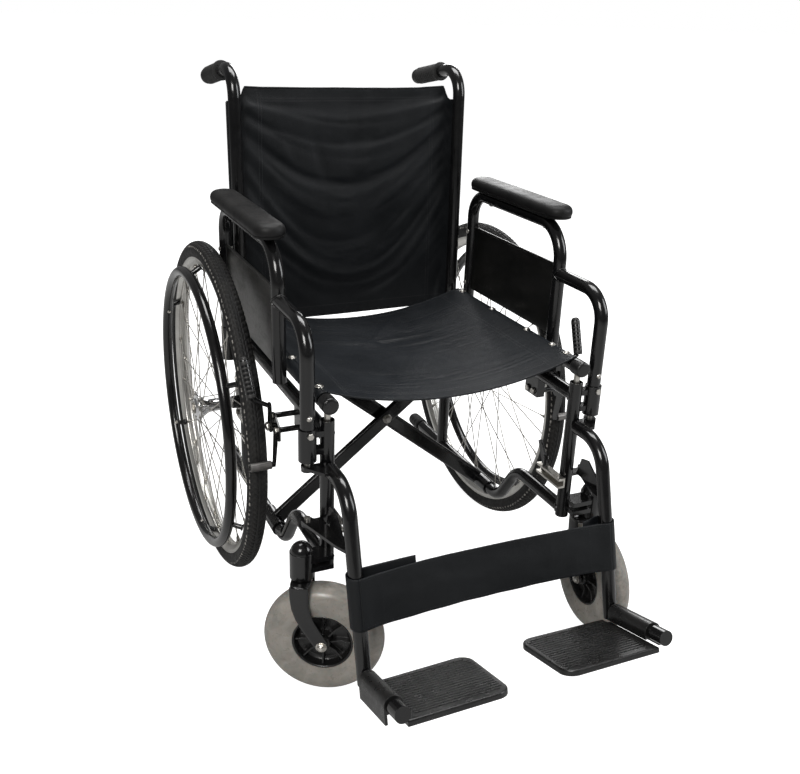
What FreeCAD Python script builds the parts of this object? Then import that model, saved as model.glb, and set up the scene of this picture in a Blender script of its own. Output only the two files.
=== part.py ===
"""A folding manual wheelchair with detachable arms and swing-away footrests. Millimetres, +Z up.

The chair faces -Y and its user's left is +X. The geometry is laid out from the rear axle line
(y = 0) and moved at the end, so that the origin is at the middle of the chair's box, on the floor.
Each sub-part is a node, written as one STEP file.
"""
import FreeCAD, Part
import math
import os

V = FreeCAD.Vector

# --- driving dimensions -----------------------------------------------------------------------
TUBE_R = 11.1            # 7/8 inch frame tube
FRAME_X = 217.0          # middle of each side frame, so the seat is about 46 cm wide
CANE_Y = 26.0            # back cane, measured from the rear axle
CANE_TOP = (38.6, 906.0)  # y and z where the cane's line meets the push handle's line
HANDLE_DROP = 9.5        # degrees that the push handle falls towards its end
HANDLE_END_Y = 219.0
CANE_BEND_Z = 480.0      # above it the cane leans back
CANE_LEAN = math.atan2(CANE_TOP[0] - CANE_Y, CANE_TOP[1] - CANE_BEND_Z)
POST_Y = -431.0          # front post
POST_BOTTOM = 200.0
POST_TOP = 449.0
UPPER_TUBE_Z = 425.0
LOWER_TUBE_Z = 127.0     # rear stretch of the lower side tube, on which the cross-brace turns
LOWER_FRONT_Z = 213.0    # its raised front stretch
TIP_END_Y = 166.0        # rear end of the lower side tube, the tipping lever

WHEEL_X = 284.5
WHEEL_R = 305.0          # 24 inch wheel
TYRE_R = 17.0
RIM_R = 276.0
RIM_INNER_R = 262.0
SPOKES_PER_FLANGE = 18
SPOKE_CROSSING = 60.0    # degrees that a spoke runs round the hub
INNER_FLANGE = -24.0     # hub flanges, measured from the wheel's middle plane
OUTER_FLANGE = 31.0
HANDRIM_R = 252.0
HANDRIM_TUBE_R = 9.5
HANDRIM_OUT = 34.0
HANDRIM_TABS = 6
AXLE_R = 6.0
RUNNING_GAP = 0.05       # radial clearance of a shaft in its bore

CASTOR_X = 263.0
CASTOR_Y = -447.0
CASTOR_R = 95.0
CASTOR_TRAIL = 35.0
CASTOR_HALF_WIDTH = 22.5
CASTOR_HUB_R = 48.0
CASTOR_BARREL = (201.0, 245.0)
CASTOR_HEADING = {"right": 61.0, "left": -4.0}  # degrees each castor stands turned

RAIL_Z = 475.0
RAIL_ENDS = (-443.0, -2.0)
RAIL_PIN_R = 5.0         # the pin under each rail that drops into the front post
BRACE_Y = -148.0         # plane between the two crossed bars
BRACE_BAR = (28.0, 12.0)  # a bar's width and thickness
SLEEVE_SPAN = (-186.0, -118.0)
FOLD_RANGE = 40.0        # degrees that each brace turns when the chair folds

ARM_X = 249.0
ARM_REAR_Y = 8.0
ARM_MID_Y = -303.0
ARM_FRONT_Y = -435.0
ARM_TOP_Z = 675.0
ARM_LOOP_Z = 595.0
ARM_LEG_BOTTOM = 412.0   # inside the sockets, so that a 43 mm lift frees both legs
SOCKET_R = 13.6
PAD_X = 253.5            # a little outboard of its tube, to pass the back cane
PAD_Z = (686.0, 709.0)
PAD_Y = (-300.0, 6.0)
PAD_HALF_WIDTH = 25.0
GUARD_Z = (484.0, 610.0)

HANGER_X = 217.0
HANGER_TOP_Z = 374.0
PIN_Y = -433.0           # the pins that a footrest hanger turns on, below the front arm socket
FOOT_Y = -591.0          # where the footplate's hinge line meets the hanger
FOOT_Z = 108.0
FOOT_SLOPE = 16.0        # degrees that the hinge line rises towards the front
FOOT_ROD = 139.0
PLATE_DEPTH = (-2.0, 133.0)
PLATE_REACH = (9.0, 172.0)
PLATE_DROP = (-22.0, -13.0)
PLATE_RIDGES = 17

BRAKE_PIVOT = (-308.0, 393.0)
SHOE_PIVOT = (-324.0, 383.0)
SHOE_BAR = (-314.5, 328.0)  # middle of the shoe bar when the brake is off
LEVER_THROW = 50.0
SHOE_THROW = 2.65
STRAP_Z = (180.0, 255.0)

BACK_Z = (446.0, 874.0)  # lower and upper edge of the back upholstery
BACK_THICKNESS = 3.0
BACK_CORNER_Z = 848.0    # its corners end below the bends of the push handles
BACK_SCREWS_Z = (520, 630, 740, 838)


# --- shapes that repeat -----------------------------------------------------------------------
def rod(start, end, radius):
    """A round bar from start to end."""
    return Part.makeCylinder(radius, (end - start).Length, start, end - start)


def pipe(start, end, outer, inner):
    """A round tube from start to end, open at both ends."""
    way = end - start
    way.normalize()
    return rod(start, end, outer).cut(rod(start - way, end + way, inner))


def box(low, high):
    return Part.makeBox(high[0] - low[0], high[1] - low[1], high[2] - low[2], V(*low))


def rounded(shape, radius, along):
    """The shape with its edges along one axis rounded."""
    axis = V(*along)
    edges = [e for e in shape.Edges if len(e.Vertexes) == 2
             and abs((e.Vertexes[1].Point - e.Vertexes[0].Point).normalize().dot(axis)) > 0.999]
    return shape.makeFillet(radius, edges)


def elbow(before, corner, after, bend, radius):
    """The bent stretch of a tube at a corner. Returns its two ends and the solid."""
    back = (before - corner).normalize()
    on = (after - corner).normalize()
    turn = math.pi - back.getAngle(on)
    reach = bend * math.tan(turn / 2)
    start = corner + back * reach
    end = corner + on * reach
    middle = corner + (back + on).normalize() * (bend / math.cos(turn / 2))
    axis = back.cross(on) * -1
    disc = Part.Face(Part.Wire(Part.makeCircle(radius, start, back)))
    return start, end, disc.revolve(middle, axis, math.degrees(turn))


def tube_run(points, bends, radius=TUBE_R):
    """A bent tube through points, as straight stretches and elbows that meet face to face."""
    solids = []
    start = points[0]
    for before, corner, after, bend in zip(points, points[1:], points[2:], bends):
        end, next_start, curve = elbow(before, corner, after, bend, radius)
        solids += [rod(start, end, radius), curve]
        start = next_start
    return solids + [rod(start, points[-1], radius)]


def plate(outline, axis, low, high):
    """A flat plate: an outline in the other two axes' coordinates, thick along the axis."""
    places = {"x": lambda a, b: V(low, a, b), "y": lambda a, b: V(a, low, b),
              "z": lambda a, b: V(a, b, low)}
    away = {"x": V(1, 0, 0), "y": V(0, 1, 0), "z": V(0, 0, 1)}[axis]
    corners = [places[axis](a, b) for a, b in outline]
    return Part.Face(Part.makePolygon(corners + corners[:1])).extrude(away * (high - low))


def turned_x(outline, middle):
    """A ring or disc about the X axis through middle, from an outline of (x, radius) pairs."""
    corners = [middle + V(x, 0, r) for x, r in outline]
    face = Part.Face(Part.makePolygon(corners + corners[:1]))
    return face.revolve(middle, V(1, 0, 0), 360)


def dome(centre, way, radius, height):
    """A screw head: a low spherical cap."""
    ball_r = (radius ** 2 + height ** 2) / (2 * height)
    ball = Part.makeSphere(ball_r, centre + way * (height - ball_r))
    return ball.common(rod(centre, centre + way * (height + 1), radius + 1))


def cut_all(solids, tools):
    for tool in tools:
        solids = [s.cut(tool) for s in solids]
    return solids


def mirrored(solids, side):
    """Solids laid out for the left side, or their mirror image for the right side."""
    if side == "left":
        return solids
    return [s.mirror(V(0, 0, 0), V(1, 0, 0)) for s in solids]


# --- side frame -------------------------------------------------------------------------------
def post_line():
    return V(FRAME_X, POST_Y, POST_BOTTOM), V(FRAME_X, POST_Y, POST_TOP)


def cane_points():
    fall = math.tan(math.radians(HANDLE_DROP))
    end_z = CANE_TOP[1] - (HANDLE_END_Y - CANE_TOP[0]) * fall
    return [V(FRAME_X, CANE_Y, LOWER_TUBE_Z), V(FRAME_X, CANE_Y, CANE_BEND_Z), V(FRAME_X, *CANE_TOP),
            V(FRAME_X, HANDLE_END_Y, end_z)]


def lower_points():
    return [V(FRAME_X, POST_Y, LOWER_FRONT_Z), V(FRAME_X, -282, LOWER_FRONT_Z),
            V(FRAME_X, -222, LOWER_TUBE_Z), V(FRAME_X, TIP_END_Y, LOWER_TUBE_Z)]


def upper_tube():
    return rod(V(FRAME_X, POST_Y, UPPER_TUBE_Z), V(FRAME_X, CANE_Y, UPPER_TUBE_Z), TUBE_R)


def castor_barrel():
    """The bored castor barrel with its domed cap and the two plates that hold it to the post."""
    low, high = CASTOR_BARREL
    barrel = rod(V(CASTOR_X, CASTOR_Y, low), V(CASTOR_X, CASTOR_Y, high), 18.5)
    bore = rod(V(CASTOR_X, CASTOR_Y, low - 1), V(CASTOR_X, CASTOR_Y, high - 6), 8 + RUNNING_GAP)
    cap = dome(V(CASTOR_X, CASTOR_Y, high), V(0, 0, 1), 17.5, 16)
    around = rod(V(CASTOR_X, CASTOR_Y, low - 1), V(CASTOR_X, CASTOR_Y, high + 1), 18.5)
    post = rod(*post_line(), TUBE_R)
    plates = [box((FRAME_X, CASTOR_Y - 16, z), (CASTOR_X, CASTOR_Y + 16, z + 8))
              for z in (low + 12, high - 16)]
    return [barrel.cut(bore), cap] + cut_all(plates, [around, post])


def axle_mount(cane):
    """The plate on the cane that holds the rear axle, with the sleeve that the axle runs in."""
    centre = V(FRAME_X, 0, WHEEL_R)
    outline = [(-22, 258), (40, 258), (40, 352), (-6, 352), (-22, 336)]
    face = rounded(plate(outline, "x", FRAME_X + 9, FRAME_X + 15), 7, (1, 0, 0))
    sleeve = pipe(centre + V(15, 0, 0), centre + V(33, 0, 0), 12, AXLE_R)
    hole = rod(centre, centre + V(40, 0, 0), AXLE_R)
    return [face.cut(cane).cut(hole), sleeve]


def hinge_tabs():
    """Two tabs on the front post, each with an upright pin for the footrest hanger."""
    post = rod(*post_line(), TUBE_R)
    solids = []
    for z in (372.0, 279.0):
        tab = box((FRAME_X, PIN_Y - 8, z), (ARM_X, PIN_Y + 8, z + 5)).cut(post)
        boss = rod(V(ARM_X, PIN_Y, z), V(ARM_X, PIN_Y, z + 5), 9)
        pin = rod(V(ARM_X, PIN_Y, z + 5), V(ARM_X, PIN_Y, z + 14), 5)
        solids += [tab.cut(boss), boss, pin]
    return solids


def latch_channel():
    """The channel bar inboard of the post that the hanger's latch closes on."""
    x = FRAME_X - TUBE_R
    bar = box((x - 13, -446, 262), (x, -376, 280))
    groove = box((x - 14, -447, 266), (x - 3, -375, 276))
    return [bar.cut(groove).cut(rod(*post_line(), TUBE_R))]


def side_frame(side):
    lower = tube_run(lower_points(), (50, 50))
    cane = tube_run(cane_points(), (400, 45))
    post = rod(*post_line(), TUBE_R)
    bottom, top = post_line()
    hollow = rod(V(FRAME_X, POST_Y, POST_TOP - 60), top + V(0, 0, 1), 9.2)
    lower_rod = rod(V(FRAME_X, CANE_Y - 50, LOWER_TUBE_Z), V(FRAME_X, TIP_END_Y, LOWER_TUBE_Z), TUBE_R)
    cane_rod = rod(cane_points()[0], cane_points()[1], TUBE_R)
    solids = cut_all(lower[:1], [post]) + lower[1:]
    solids += cut_all(cane[:1], [lower_rod]) + cane[1:]
    solids += cut_all([upper_tube()], [post, cane_rod])
    solids += [post.cut(hollow)]
    solids += castor_barrel() + axle_mount(cane_rod) + hinge_tabs() + latch_channel()
    return mirrored(solids, side)


def push_grip(side):
    """A ribbed rubber grip over the end of the push handle."""
    corner, end = cane_points()[2:]
    way = (end - corner).normalize()
    start = end - way * 104
    sleeve = rod(start, end + way * 5, 14.6)
    ribs = [pipe(start + way * (8 + 8 * n), start + way * (12 + 8 * n), 16.2, 13) for n in range(11)]
    collar = pipe(start, start + way * 4, 17.5, 13)
    grip = sleeve.fuse(ribs + [collar]).cut(rod(start - way, end, TUBE_R))
    return mirrored([grip], side)


def tipping_cap(side):
    end = V(FRAME_X, TIP_END_Y, LOWER_TUBE_Z)
    cap = rod(end - V(0, 38, 0), end + V(0, 6, 0), 13.6)
    return mirrored([cap.cut(rod(end - V(0, 60, 0), end, TUBE_R))], side)


def back_face_y(z):
    """How far back the back upholstery's front face stands where it lies behind a cane."""
    return CANE_Y + TUBE_R + 0.5 + (z - BACK_Z[0]) * CANE_LEAN


def back_screws(side):
    """Screws from behind, through the back upholstery into the cane."""
    solids = []
    for z in BACK_SCREWS_Z:
        head = V(FRAME_X, back_face_y(z) + BACK_THICKNESS + 1.1, z)
        shank = rod(V(FRAME_X, CANE_Y + TUBE_R - 2, z), head, 1.5)
        solids.append(dome(head, V(0, 1, 0), 5.5, 3).fuse(shank))
    return mirrored(solids, side)


# --- rear wheel -------------------------------------------------------------------------------
WHEEL = V(WHEEL_X, 0, WHEEL_R)


def rear_axle(side):
    """The axle bolt with its inner head and its chrome outer nut."""
    shank = rod(V(FRAME_X + 4, 0, WHEEL_R), V(WHEEL_X + 36, 0, WHEEL_R), AXLE_R)
    head = rod(V(FRAME_X - 1, 0, WHEEL_R), V(FRAME_X + 4, 0, WHEEL_R), 10)
    washer = rod(V(WHEEL_X + 37.2, 0, WHEEL_R), V(WHEEL_X + 39, 0, WHEEL_R), 11)
    stub = rod(V(WHEEL_X + 36, 0, WHEEL_R), V(WHEEL_X + 37.2, 0, WHEEL_R), AXLE_R)
    nut = dome(V(WHEEL_X + 39, 0, WHEEL_R), V(1, 0, 0), 9, 4)
    cane = rod(cane_points()[0], cane_points()[1], TUBE_R)
    return mirrored([head.cut(cane).fuse([shank, stub, washer, nut])], side)


def rim_ring():
    return turned_x([(-12, RIM_R), (12, RIM_R), (12, 270), (7, RIM_INNER_R), (-7, RIM_INNER_R),
                     (-12, 270)], WHEEL)


def rear_rim(side):
    return mirrored([rim_ring()], side)


def rear_tyre(side):
    ring = Part.makeTorus(WHEEL_R - TYRE_R, TYRE_R, WHEEL, V(1, 0, 0))
    core = rod(WHEEL - V(20, 0, 0), WHEEL + V(20, 0, 0), RIM_R)
    return mirrored([ring.cut(core)], side)


def rear_hub(side):
    """A bell-shaped hub with a flange on each side."""
    bore = AXLE_R + RUNNING_GAP
    outline = [(-31, bore), (-31, 11), (-27, 12), (-26, 24), (-22, 24), (-20, 14), (0, 12),
               (18, 15), (27, 24), (29, 28), (33, 28), (34, 17), (37, 12), (37, bore)]
    return mirrored([turned_x(outline, WHEEL)], side)


def spoke(flange_x, rim_x, radius, angle, rim_angle):
    """One spoke with its nipple at the rim."""
    start = WHEEL + V(flange_x, radius * math.cos(angle), radius * math.sin(angle))
    end = WHEEL + V(rim_x, RIM_INNER_R * math.cos(rim_angle), RIM_INNER_R * math.sin(rim_angle))
    way = (end - start).normalize()
    return [rod(start, end - way * 9, 1.1), rod(end - way * 9, end - way * 0.3, 2.2)]


def rear_spokes(side):
    """Crossed spokes: at each flange every second spoke leads, and the others trail."""
    step = 2 * math.pi / SPOKES_PER_FLANGE
    solids = []
    for flange_x, rim_x, first in ((INNER_FLANGE, -4.0, 0.0), (OUTER_FLANGE, 4.0, step / 2)):
        radius = 24.6 if flange_x < 0 else 28.6
        for n in range(SPOKES_PER_FLANGE):
            way = 1 if n % 2 else -1
            angle = first + n * step
            rim_angle = angle + way * math.radians(SPOKE_CROSSING)
            solids += spoke(flange_x + 1.6 * way, rim_x + 1.6 * way, radius, angle, rim_angle)
    return mirrored(solids, side)


def handrim(side):
    """The push ring and the short tabs that hold it to the rim."""
    centre = WHEEL + V(HANDRIM_OUT, 0, 0)
    ring = Part.makeTorus(HANDRIM_R, HANDRIM_TUBE_R, centre, V(1, 0, 0))
    tabs = []
    for n in range(HANDRIM_TABS):
        angle = math.radians(90 + n * 360 / HANDRIM_TABS)
        out = V(0, math.cos(angle), math.sin(angle))
        tabs.append(rod(centre + out * HANDRIM_R, WHEEL + V(11, 0, 0) + out * 268, 4.5))
    tabs = cut_all(tabs, [rim_ring()])
    return mirrored([ring.fuse(tabs)], side)


# --- castor -----------------------------------------------------------------------------------
def at_castor(solids, side):
    """Solids laid out round a swivel axis at the origin, wheel towards -Y, put in their place."""
    x = CASTOR_X if side == "left" else -CASTOR_X
    place = FreeCAD.Placement(V(x, CASTOR_Y, 0), FreeCAD.Rotation(V(0, 0, 1), CASTOR_HEADING[side]))
    return [s.transformed(place.toMatrix()) for s in solids]


HUB = V(0, -CASTOR_TRAIL, CASTOR_R)


def castor_fork(side):
    """A crown with a stem above it and a curved blade on each side of the wheel."""
    top = CASTOR_BARREL[0] - 2
    crown = rounded(box((-31, -16, top - 6.5), (31, 15, top)), 7, (0, 0, 1))
    outline = [(15, top), (12.6, 161), (2.6, 130), (-12, 106), (-24, 88), (-36, 82), (-44, 86),
               (-47, 94), (-44, 104), (-24, 127), (-15, 163), (-15.7, top)]
    blades = []
    for low in (-31, 27):
        blade = rounded(plate(outline, "x", low, low + 4), 2.5, (1, 0, 0))
        blades.append(blade.cut(rod(HUB - V(60, 0, 0), HUB + V(60, 0, 0), 4)))
    stem = rod(V(0, 0, top), V(0, 0, CASTOR_BARREL[1] - 9), 8)
    collar = rod(V(0, 0, top), V(0, 0, top + 1.5), 15)
    blades = cut_all(blades, [crown])
    return at_castor([crown.fuse([collar, stem])] + blades, side)


def castor_tyre(side):
    half = CASTOR_HALF_WIDTH
    seat = 20.0
    points = {"a": (-seat, CASTOR_HUB_R), "b": (seat, CASTOR_HUB_R), "c": (half, 66),
              "top": (0, CASTOR_R), "d": (-half, 66)}
    p = {k: HUB + V(x, 0, r) for k, (x, r) in points.items()}
    shoulder = [HUB + V(x, 0, 88.5) for x in (17, -17)]
    edges = [Part.makeLine(p["a"], p["b"]), Part.makeLine(p["b"], p["c"]),
             Part.Arc(p["c"], shoulder[0], p["top"]).toShape(),
             Part.Arc(p["top"], shoulder[1], p["d"]).toShape(), Part.makeLine(p["d"], p["a"])]
    ring = Part.Face(Part.Wire(edges)).revolve(HUB, V(1, 0, 0), 360)
    return at_castor([ring], side)


def castor_hub(side):
    """A plastic hub: an outer ring, a web, a boss and radial ribs."""
    bore = 4 + RUNNING_GAP
    outline = [(-24.5, bore), (-24.5, 13), (-4, 14), (-4, 43.5), (-20, 44), (-20, CASTOR_HUB_R),
               (20, CASTOR_HUB_R), (20, 44), (4, 43.5), (4, 14), (24.5, 13), (24.5, bore)]
    body = turned_x(outline, HUB)
    ribs = []
    for n in range(6):
        rib = box((-15, -1.5, 12), (15, 1.5, 45)).translate(HUB)
        rib.rotate(HUB, V(1, 0, 0), n * 60)
        ribs.append(rib)
    return at_castor([body.fuse(ribs)], side)


def castor_axle(side):
    """The castor's bolt, head and nut."""
    bolt = rod(HUB - V(31, 0, 0), HUB + V(31, 0, 0), 4)
    head = rod(HUB - V(36, 0, 0), HUB - V(31, 0, 0), 7.5)
    nut = rod(HUB + V(31, 0, 0), HUB + V(36, 0, 0), 7.5)
    tip = dome(HUB - V(36, 0, 0), V(-1, 0, 0), 6, 3)
    end = dome(HUB + V(36, 0, 0), V(1, 0, 0), 6, 3)
    return at_castor([bolt.fuse([head, nut, tip, end])], side)


# --- cross-brace and seat ---------------------------------------------------------------------
def brace(side):
    """One crossed bar: a sleeve on the lower tube of one side, and the other side's seat rail.

    The side named is the one whose seat rail it carries.
    """
    foot = V(-FRAME_X, 0, LOWER_TUBE_Z)
    top = V(FRAME_X, 0, RAIL_Z)
    plane = BRACE_Y + (-BRACE_BAR[1] / 2 - 0.5 if side == "left" else BRACE_BAR[1] / 2 + 0.5)
    length = (top - foot).Length
    width, thick = BRACE_BAR
    bar = box((0, plane - thick / 2, -width / 2), (length, plane + thick / 2, width / 2))
    bar = rounded(bar, 5.5, (1, 0, 0))
    lift = math.degrees(math.atan2(RAIL_Z - LOWER_TUBE_Z, 2 * FRAME_X))
    bar.rotate(V(0, 0, 0), V(0, 1, 0), -lift)
    bar.translate(foot)
    sleeve_out = rod(foot + V(0, SLEEVE_SPAN[0], 0), foot + V(0, SLEEVE_SPAN[1], 0), 14)
    rail = rod(top + V(0, RAIL_ENDS[0], 0), top + V(0, RAIL_ENDS[1], 0), TUBE_R)
    gap = RUNNING_GAP if side == "right" else 0.0
    middle = V(0, 0, (RAIL_Z + LOWER_TUBE_Z) / 2)
    hole = rod(middle + V(0, BRACE_Y - 30, 0), middle + V(0, BRACE_Y + 30, 0), 5 + gap)
    sleeve = sleeve_out.cut(rod(foot + V(0, -300, 0), foot, TUBE_R + RUNNING_GAP))
    pin = rod(V(FRAME_X, POST_Y, POST_TOP - 7), V(FRAME_X, POST_Y, RAIL_Z), RAIL_PIN_R)
    over = box((0, -FRAME_X, RAIL_Z - 4.5), (FRAME_X, 0, RAIL_Z + 30))
    bar = bar.cut([sleeve_out, rail, hole, over])
    solids = [bar, sleeve, rail, pin.cut(rail)]
    return mirrored(solids, side)


def cross_bolt():
    """The bolt through the crossed bars, with washers, a head and a nut."""
    middle = V(0, 0, (RAIL_Z + LOWER_TUBE_Z) / 2)
    reach = BRACE_BAR[1] + 0.5
    shank = rod(middle + V(0, BRACE_Y - reach, 0), middle + V(0, BRACE_Y + reach, 0), 5)
    spacer = pipe(middle + V(0, BRACE_Y - 0.4, 0), middle + V(0, BRACE_Y + 0.4, 0), 8.5, 4)
    solids = [shank, spacer]
    for way in (-1, 1):
        near = middle + V(0, BRACE_Y + way * (reach + 0.1), 0)
        solids.append(rod(near, near + V(0, way * 2, 0), 8.5))
        solids.append(rod(near + V(0, way * 2, 0), near + V(0, way * 8, 0), 6.5))
    stub = rod(middle + V(0, BRACE_Y - reach - 1, 0), middle + V(0, BRACE_Y + reach + 1, 0), 5)
    return [stub.fuse(solids)]


def rail_cap(side):
    """The black cap over a seat rail's front end."""
    end = V(FRAME_X, RAIL_ENDS[0], RAIL_Z)
    cap = rod(end - V(0, 5, 0), end + V(0, 20, 0), 13)
    pin = rod(V(FRAME_X, POST_Y, POST_TOP), V(FRAME_X, POST_Y, RAIL_Z), RAIL_PIN_R + 0.5)
    return mirrored([cap.cut([rod(end, end + V(0, 60, 0), TUBE_R), pin])], side)


def seat_screws(side):
    """Domed screws that clamp the seat upholstery's edge to the rail."""
    solids = []
    for y in (-396, -352, -269, -145, -25):
        solids.append(dome(V(FRAME_X, y, RAIL_Z + TUBE_R), V(0, 0, 1), 6, 3.2))
    return mirrored(solids, side)


def seat_sling():
    """The seat upholstery between the rails, a shallow trough."""
    half = FRAME_X - TUBE_R - 0.6
    top = [(-half, 480), (-half + 60, 469), (0, 464), (half - 60, 469), (half, 480)]
    under = [(x, z - 5) for x, z in reversed(top)]
    return [plate(top + under, "y", -420, -4)]


def back_sling():
    """The back upholstery, screwed to the rear of both canes and sagging a little behind them."""
    half = FRAME_X + 9
    low, high = BACK_Z
    near = back_face_y(low)
    front = [(-half, near), (-half + 66, near + 4.5), (0, near + 8.5), (half - 66, near + 4.5),
             (half, near)]
    rear = [(x, y + BACK_THICKNESS) for x, y in reversed(front)]
    sling = plate(front + rear, "z", 0, high - low)
    place = FreeCAD.Placement(V(0, 0, low), FreeCAD.Rotation(V(1, 0, 0), -math.degrees(CANE_LEAN)))
    sling = sling.transformed(place.toMatrix())
    for x in (-FRAME_X, FRAME_X):
        corner = box((x - TUBE_R - 1, 0, BACK_CORNER_Z), (x + TUBE_R + 1, 100, high + 10))
        holes = [rod(V(x, 0, z), V(x, 100, z), 1.8) for z in BACK_SCREWS_Z]
        sling = sling.cut([corner] + holes)
    return [sling]


# --- armrest ----------------------------------------------------------------------------------
def arm_frame(side):
    """The armrest's bent tube: under the pad, down the middle, with a low loop at the front."""
    x = ARM_X
    main = tube_run([V(x, ARM_REAR_Y, ARM_LEG_BOTTOM), V(x, ARM_REAR_Y, ARM_TOP_Z),
                     V(x, ARM_MID_Y, ARM_TOP_Z), V(x, ARM_MID_Y, 463)], (45, 60))
    loop = tube_run([V(x, ARM_MID_Y, ARM_LOOP_Z), V(x, ARM_FRONT_Y, ARM_LOOP_Z),
                     V(x, ARM_FRONT_Y, ARM_LEG_BOTTOM)], (48,))
    upright = rod(V(x, ARM_MID_Y, 463), V(x, ARM_MID_Y, 620), TUBE_R)
    snap = dome(V(x, ARM_FRONT_Y - TUBE_R + 0.6, 460), V(0, -1, 0), 4.5, 3)
    snap = snap.cut(rod(V(x, ARM_FRONT_Y, 440), V(x, ARM_FRONT_Y, 470), TUBE_R))
    return mirrored(main + cut_all(loop[:1], [upright]) + loop[1:] + [snap], side)


def arm_pad(side):
    """The moulded pad on its base."""
    low, high = PAD_Z
    outline = box((PAD_X - PAD_HALF_WIDTH, PAD_Y[0], low), (PAD_X + PAD_HALF_WIDTH, PAD_Y[1], high))
    pad = rounded(outline, 22, (0, 0, 1))
    rim = [e for e in pad.Edges if all(abs(v.Point.z - high) < 0.01 for v in e.Vertexes)]
    pad = pad.makeFillet(10, rim)
    tube = rod(V(ARM_X, -500, ARM_TOP_Z), V(ARM_X, 100, ARM_TOP_Z), TUBE_R)
    return mirrored([pad.cut(tube)], side)


def skirt_guard(side):
    """The panel between the armrest's uprights."""
    front = ARM_MID_Y + TUBE_R + 0.2
    rear = ARM_REAR_Y - TUBE_R - 0.2
    low, high = GUARD_Z
    panel = box((ARM_X - 1.5, front, low), (ARM_X + 1.5, rear, high))
    return mirrored([panel], side)


def arm_socket(side):
    """The front and rear sockets that the armrest's legs stand in, and their straps."""
    front = pipe(V(ARM_X, ARM_FRONT_Y, 390), V(ARM_X, ARM_FRONT_Y, 441), SOCKET_R, TUBE_R + RUNNING_GAP)
    rear = pipe(V(ARM_X, ARM_REAR_Y, 392), V(ARM_X, ARM_REAR_Y, 454), SOCKET_R, TUBE_R + RUNNING_GAP)
    floor = rod(V(ARM_X, ARM_REAR_Y, ARM_LEG_BOTTOM - 4), V(ARM_X, ARM_REAR_Y, ARM_LEG_BOTTOM - 0.5),
                TUBE_R + RUNNING_GAP)
    post = rod(*post_line(), TUBE_R)
    cane = rod(cane_points()[0], cane_points()[1], TUBE_R)
    core_front = rod(V(ARM_X, ARM_FRONT_Y, 380), V(ARM_X, ARM_FRONT_Y, 460), SOCKET_R)
    core_rear = rod(V(ARM_X, ARM_REAR_Y, 380), V(ARM_X, ARM_REAR_Y, 460), SOCKET_R)
    straps = [box((FRAME_X, POST_Y - 8, z), (ARM_X, POST_Y + 8, z + 9)) for z in (398, 426)]
    straps = cut_all(straps, [post, core_front, upper_tube()])
    hold = [box((FRAME_X, 10, z), (ARM_X, 24, z + 12)) for z in (398, 434)]
    hold = cut_all(hold, [cane, core_rear, upper_tube()])
    bolt = dome(V(ARM_X, ARM_FRONT_Y - SOCKET_R + 0.6, 434), V(0, -1, 0), 5, 3.4).cut(core_front)
    return mirrored([front, rear.fuse(floor)] + straps + hold + [bolt], side)


# --- footrest ---------------------------------------------------------------------------------
def foot_frame():
    """The footplate's frame: X inward from the hinge line, Y along it to the front, Z up."""
    c = math.cos(math.radians(FOOT_SLOPE))
    s = math.sin(math.radians(FOOT_SLOPE))
    turn = FreeCAD.Rotation(V(-1, 0, 0), V(0, -c, s), V(0, s, c), "XYZ")
    return FreeCAD.Placement(V(HANGER_X, FOOT_Y, FOOT_Z), turn)


def hanger(side):
    """The swing-away hanger: bent tube, two lugs on the pins, gusset, and the footplate's rod."""
    foot = foot_frame()
    bottom = foot.multVec(V(0, 0, -13))
    rise = (HANGER_TOP_Z - FOOT_Z) * math.tan(math.radians(FOOT_SLOPE))
    corner = V(HANGER_X, FOOT_Y + rise, HANGER_TOP_Z)
    tube = tube_run([V(HANGER_X, -446, HANGER_TOP_Z), corner, bottom], (55,))
    start = foot.multVec(V(0, 0, 0))
    pivot = rod(start, foot.multVec(V(0, FOOT_ROD - 26, 0)), 8.5)
    nose = rod(foot.multVec(V(0, FOOT_ROD - 26, 0)), foot.multVec(V(0, FOOT_ROD, 0)), 12)
    leg = rod(bottom, corner, TUBE_R)
    top = rod(V(HANGER_X, -446, HANGER_TOP_Z), corner, TUBE_R)
    eye = [rod(V(ARM_X, PIN_Y, z - 1), V(ARM_X, PIN_Y, z + 6), 5 + RUNNING_GAP) for z in (377.3, 284.3)]
    upper = [(259, -433), (254, -424.5), (244, -424.5), (239, -433), (231.5, -450), (219, -455),
             (219, -470), (235, -470), (257, -442)]
    lower = [(259, -433), (254, -424.5), (244, -424.5), (239, -433), (230.5, -450), (209, -517),
             (209, -539), (225, -539), (235, -517), (257, -442)]
    lugs = [plate(upper, "z", 377.3, 382.3).cut(eye[0]).cut(top),
            plate(lower, "z", 284.3, 289.3).cut(eye[1]).cut(leg)]
    web = [(-452, 289.3), (-462, 322), (-480, 326), (-500, 312), (-529, 289.3)]
    gusset = plate(web, "x", 222, 225).cut(leg)
    return mirrored(tube + cut_all([pivot], [leg]) + [nose] + lugs + [gusset], side)


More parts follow.
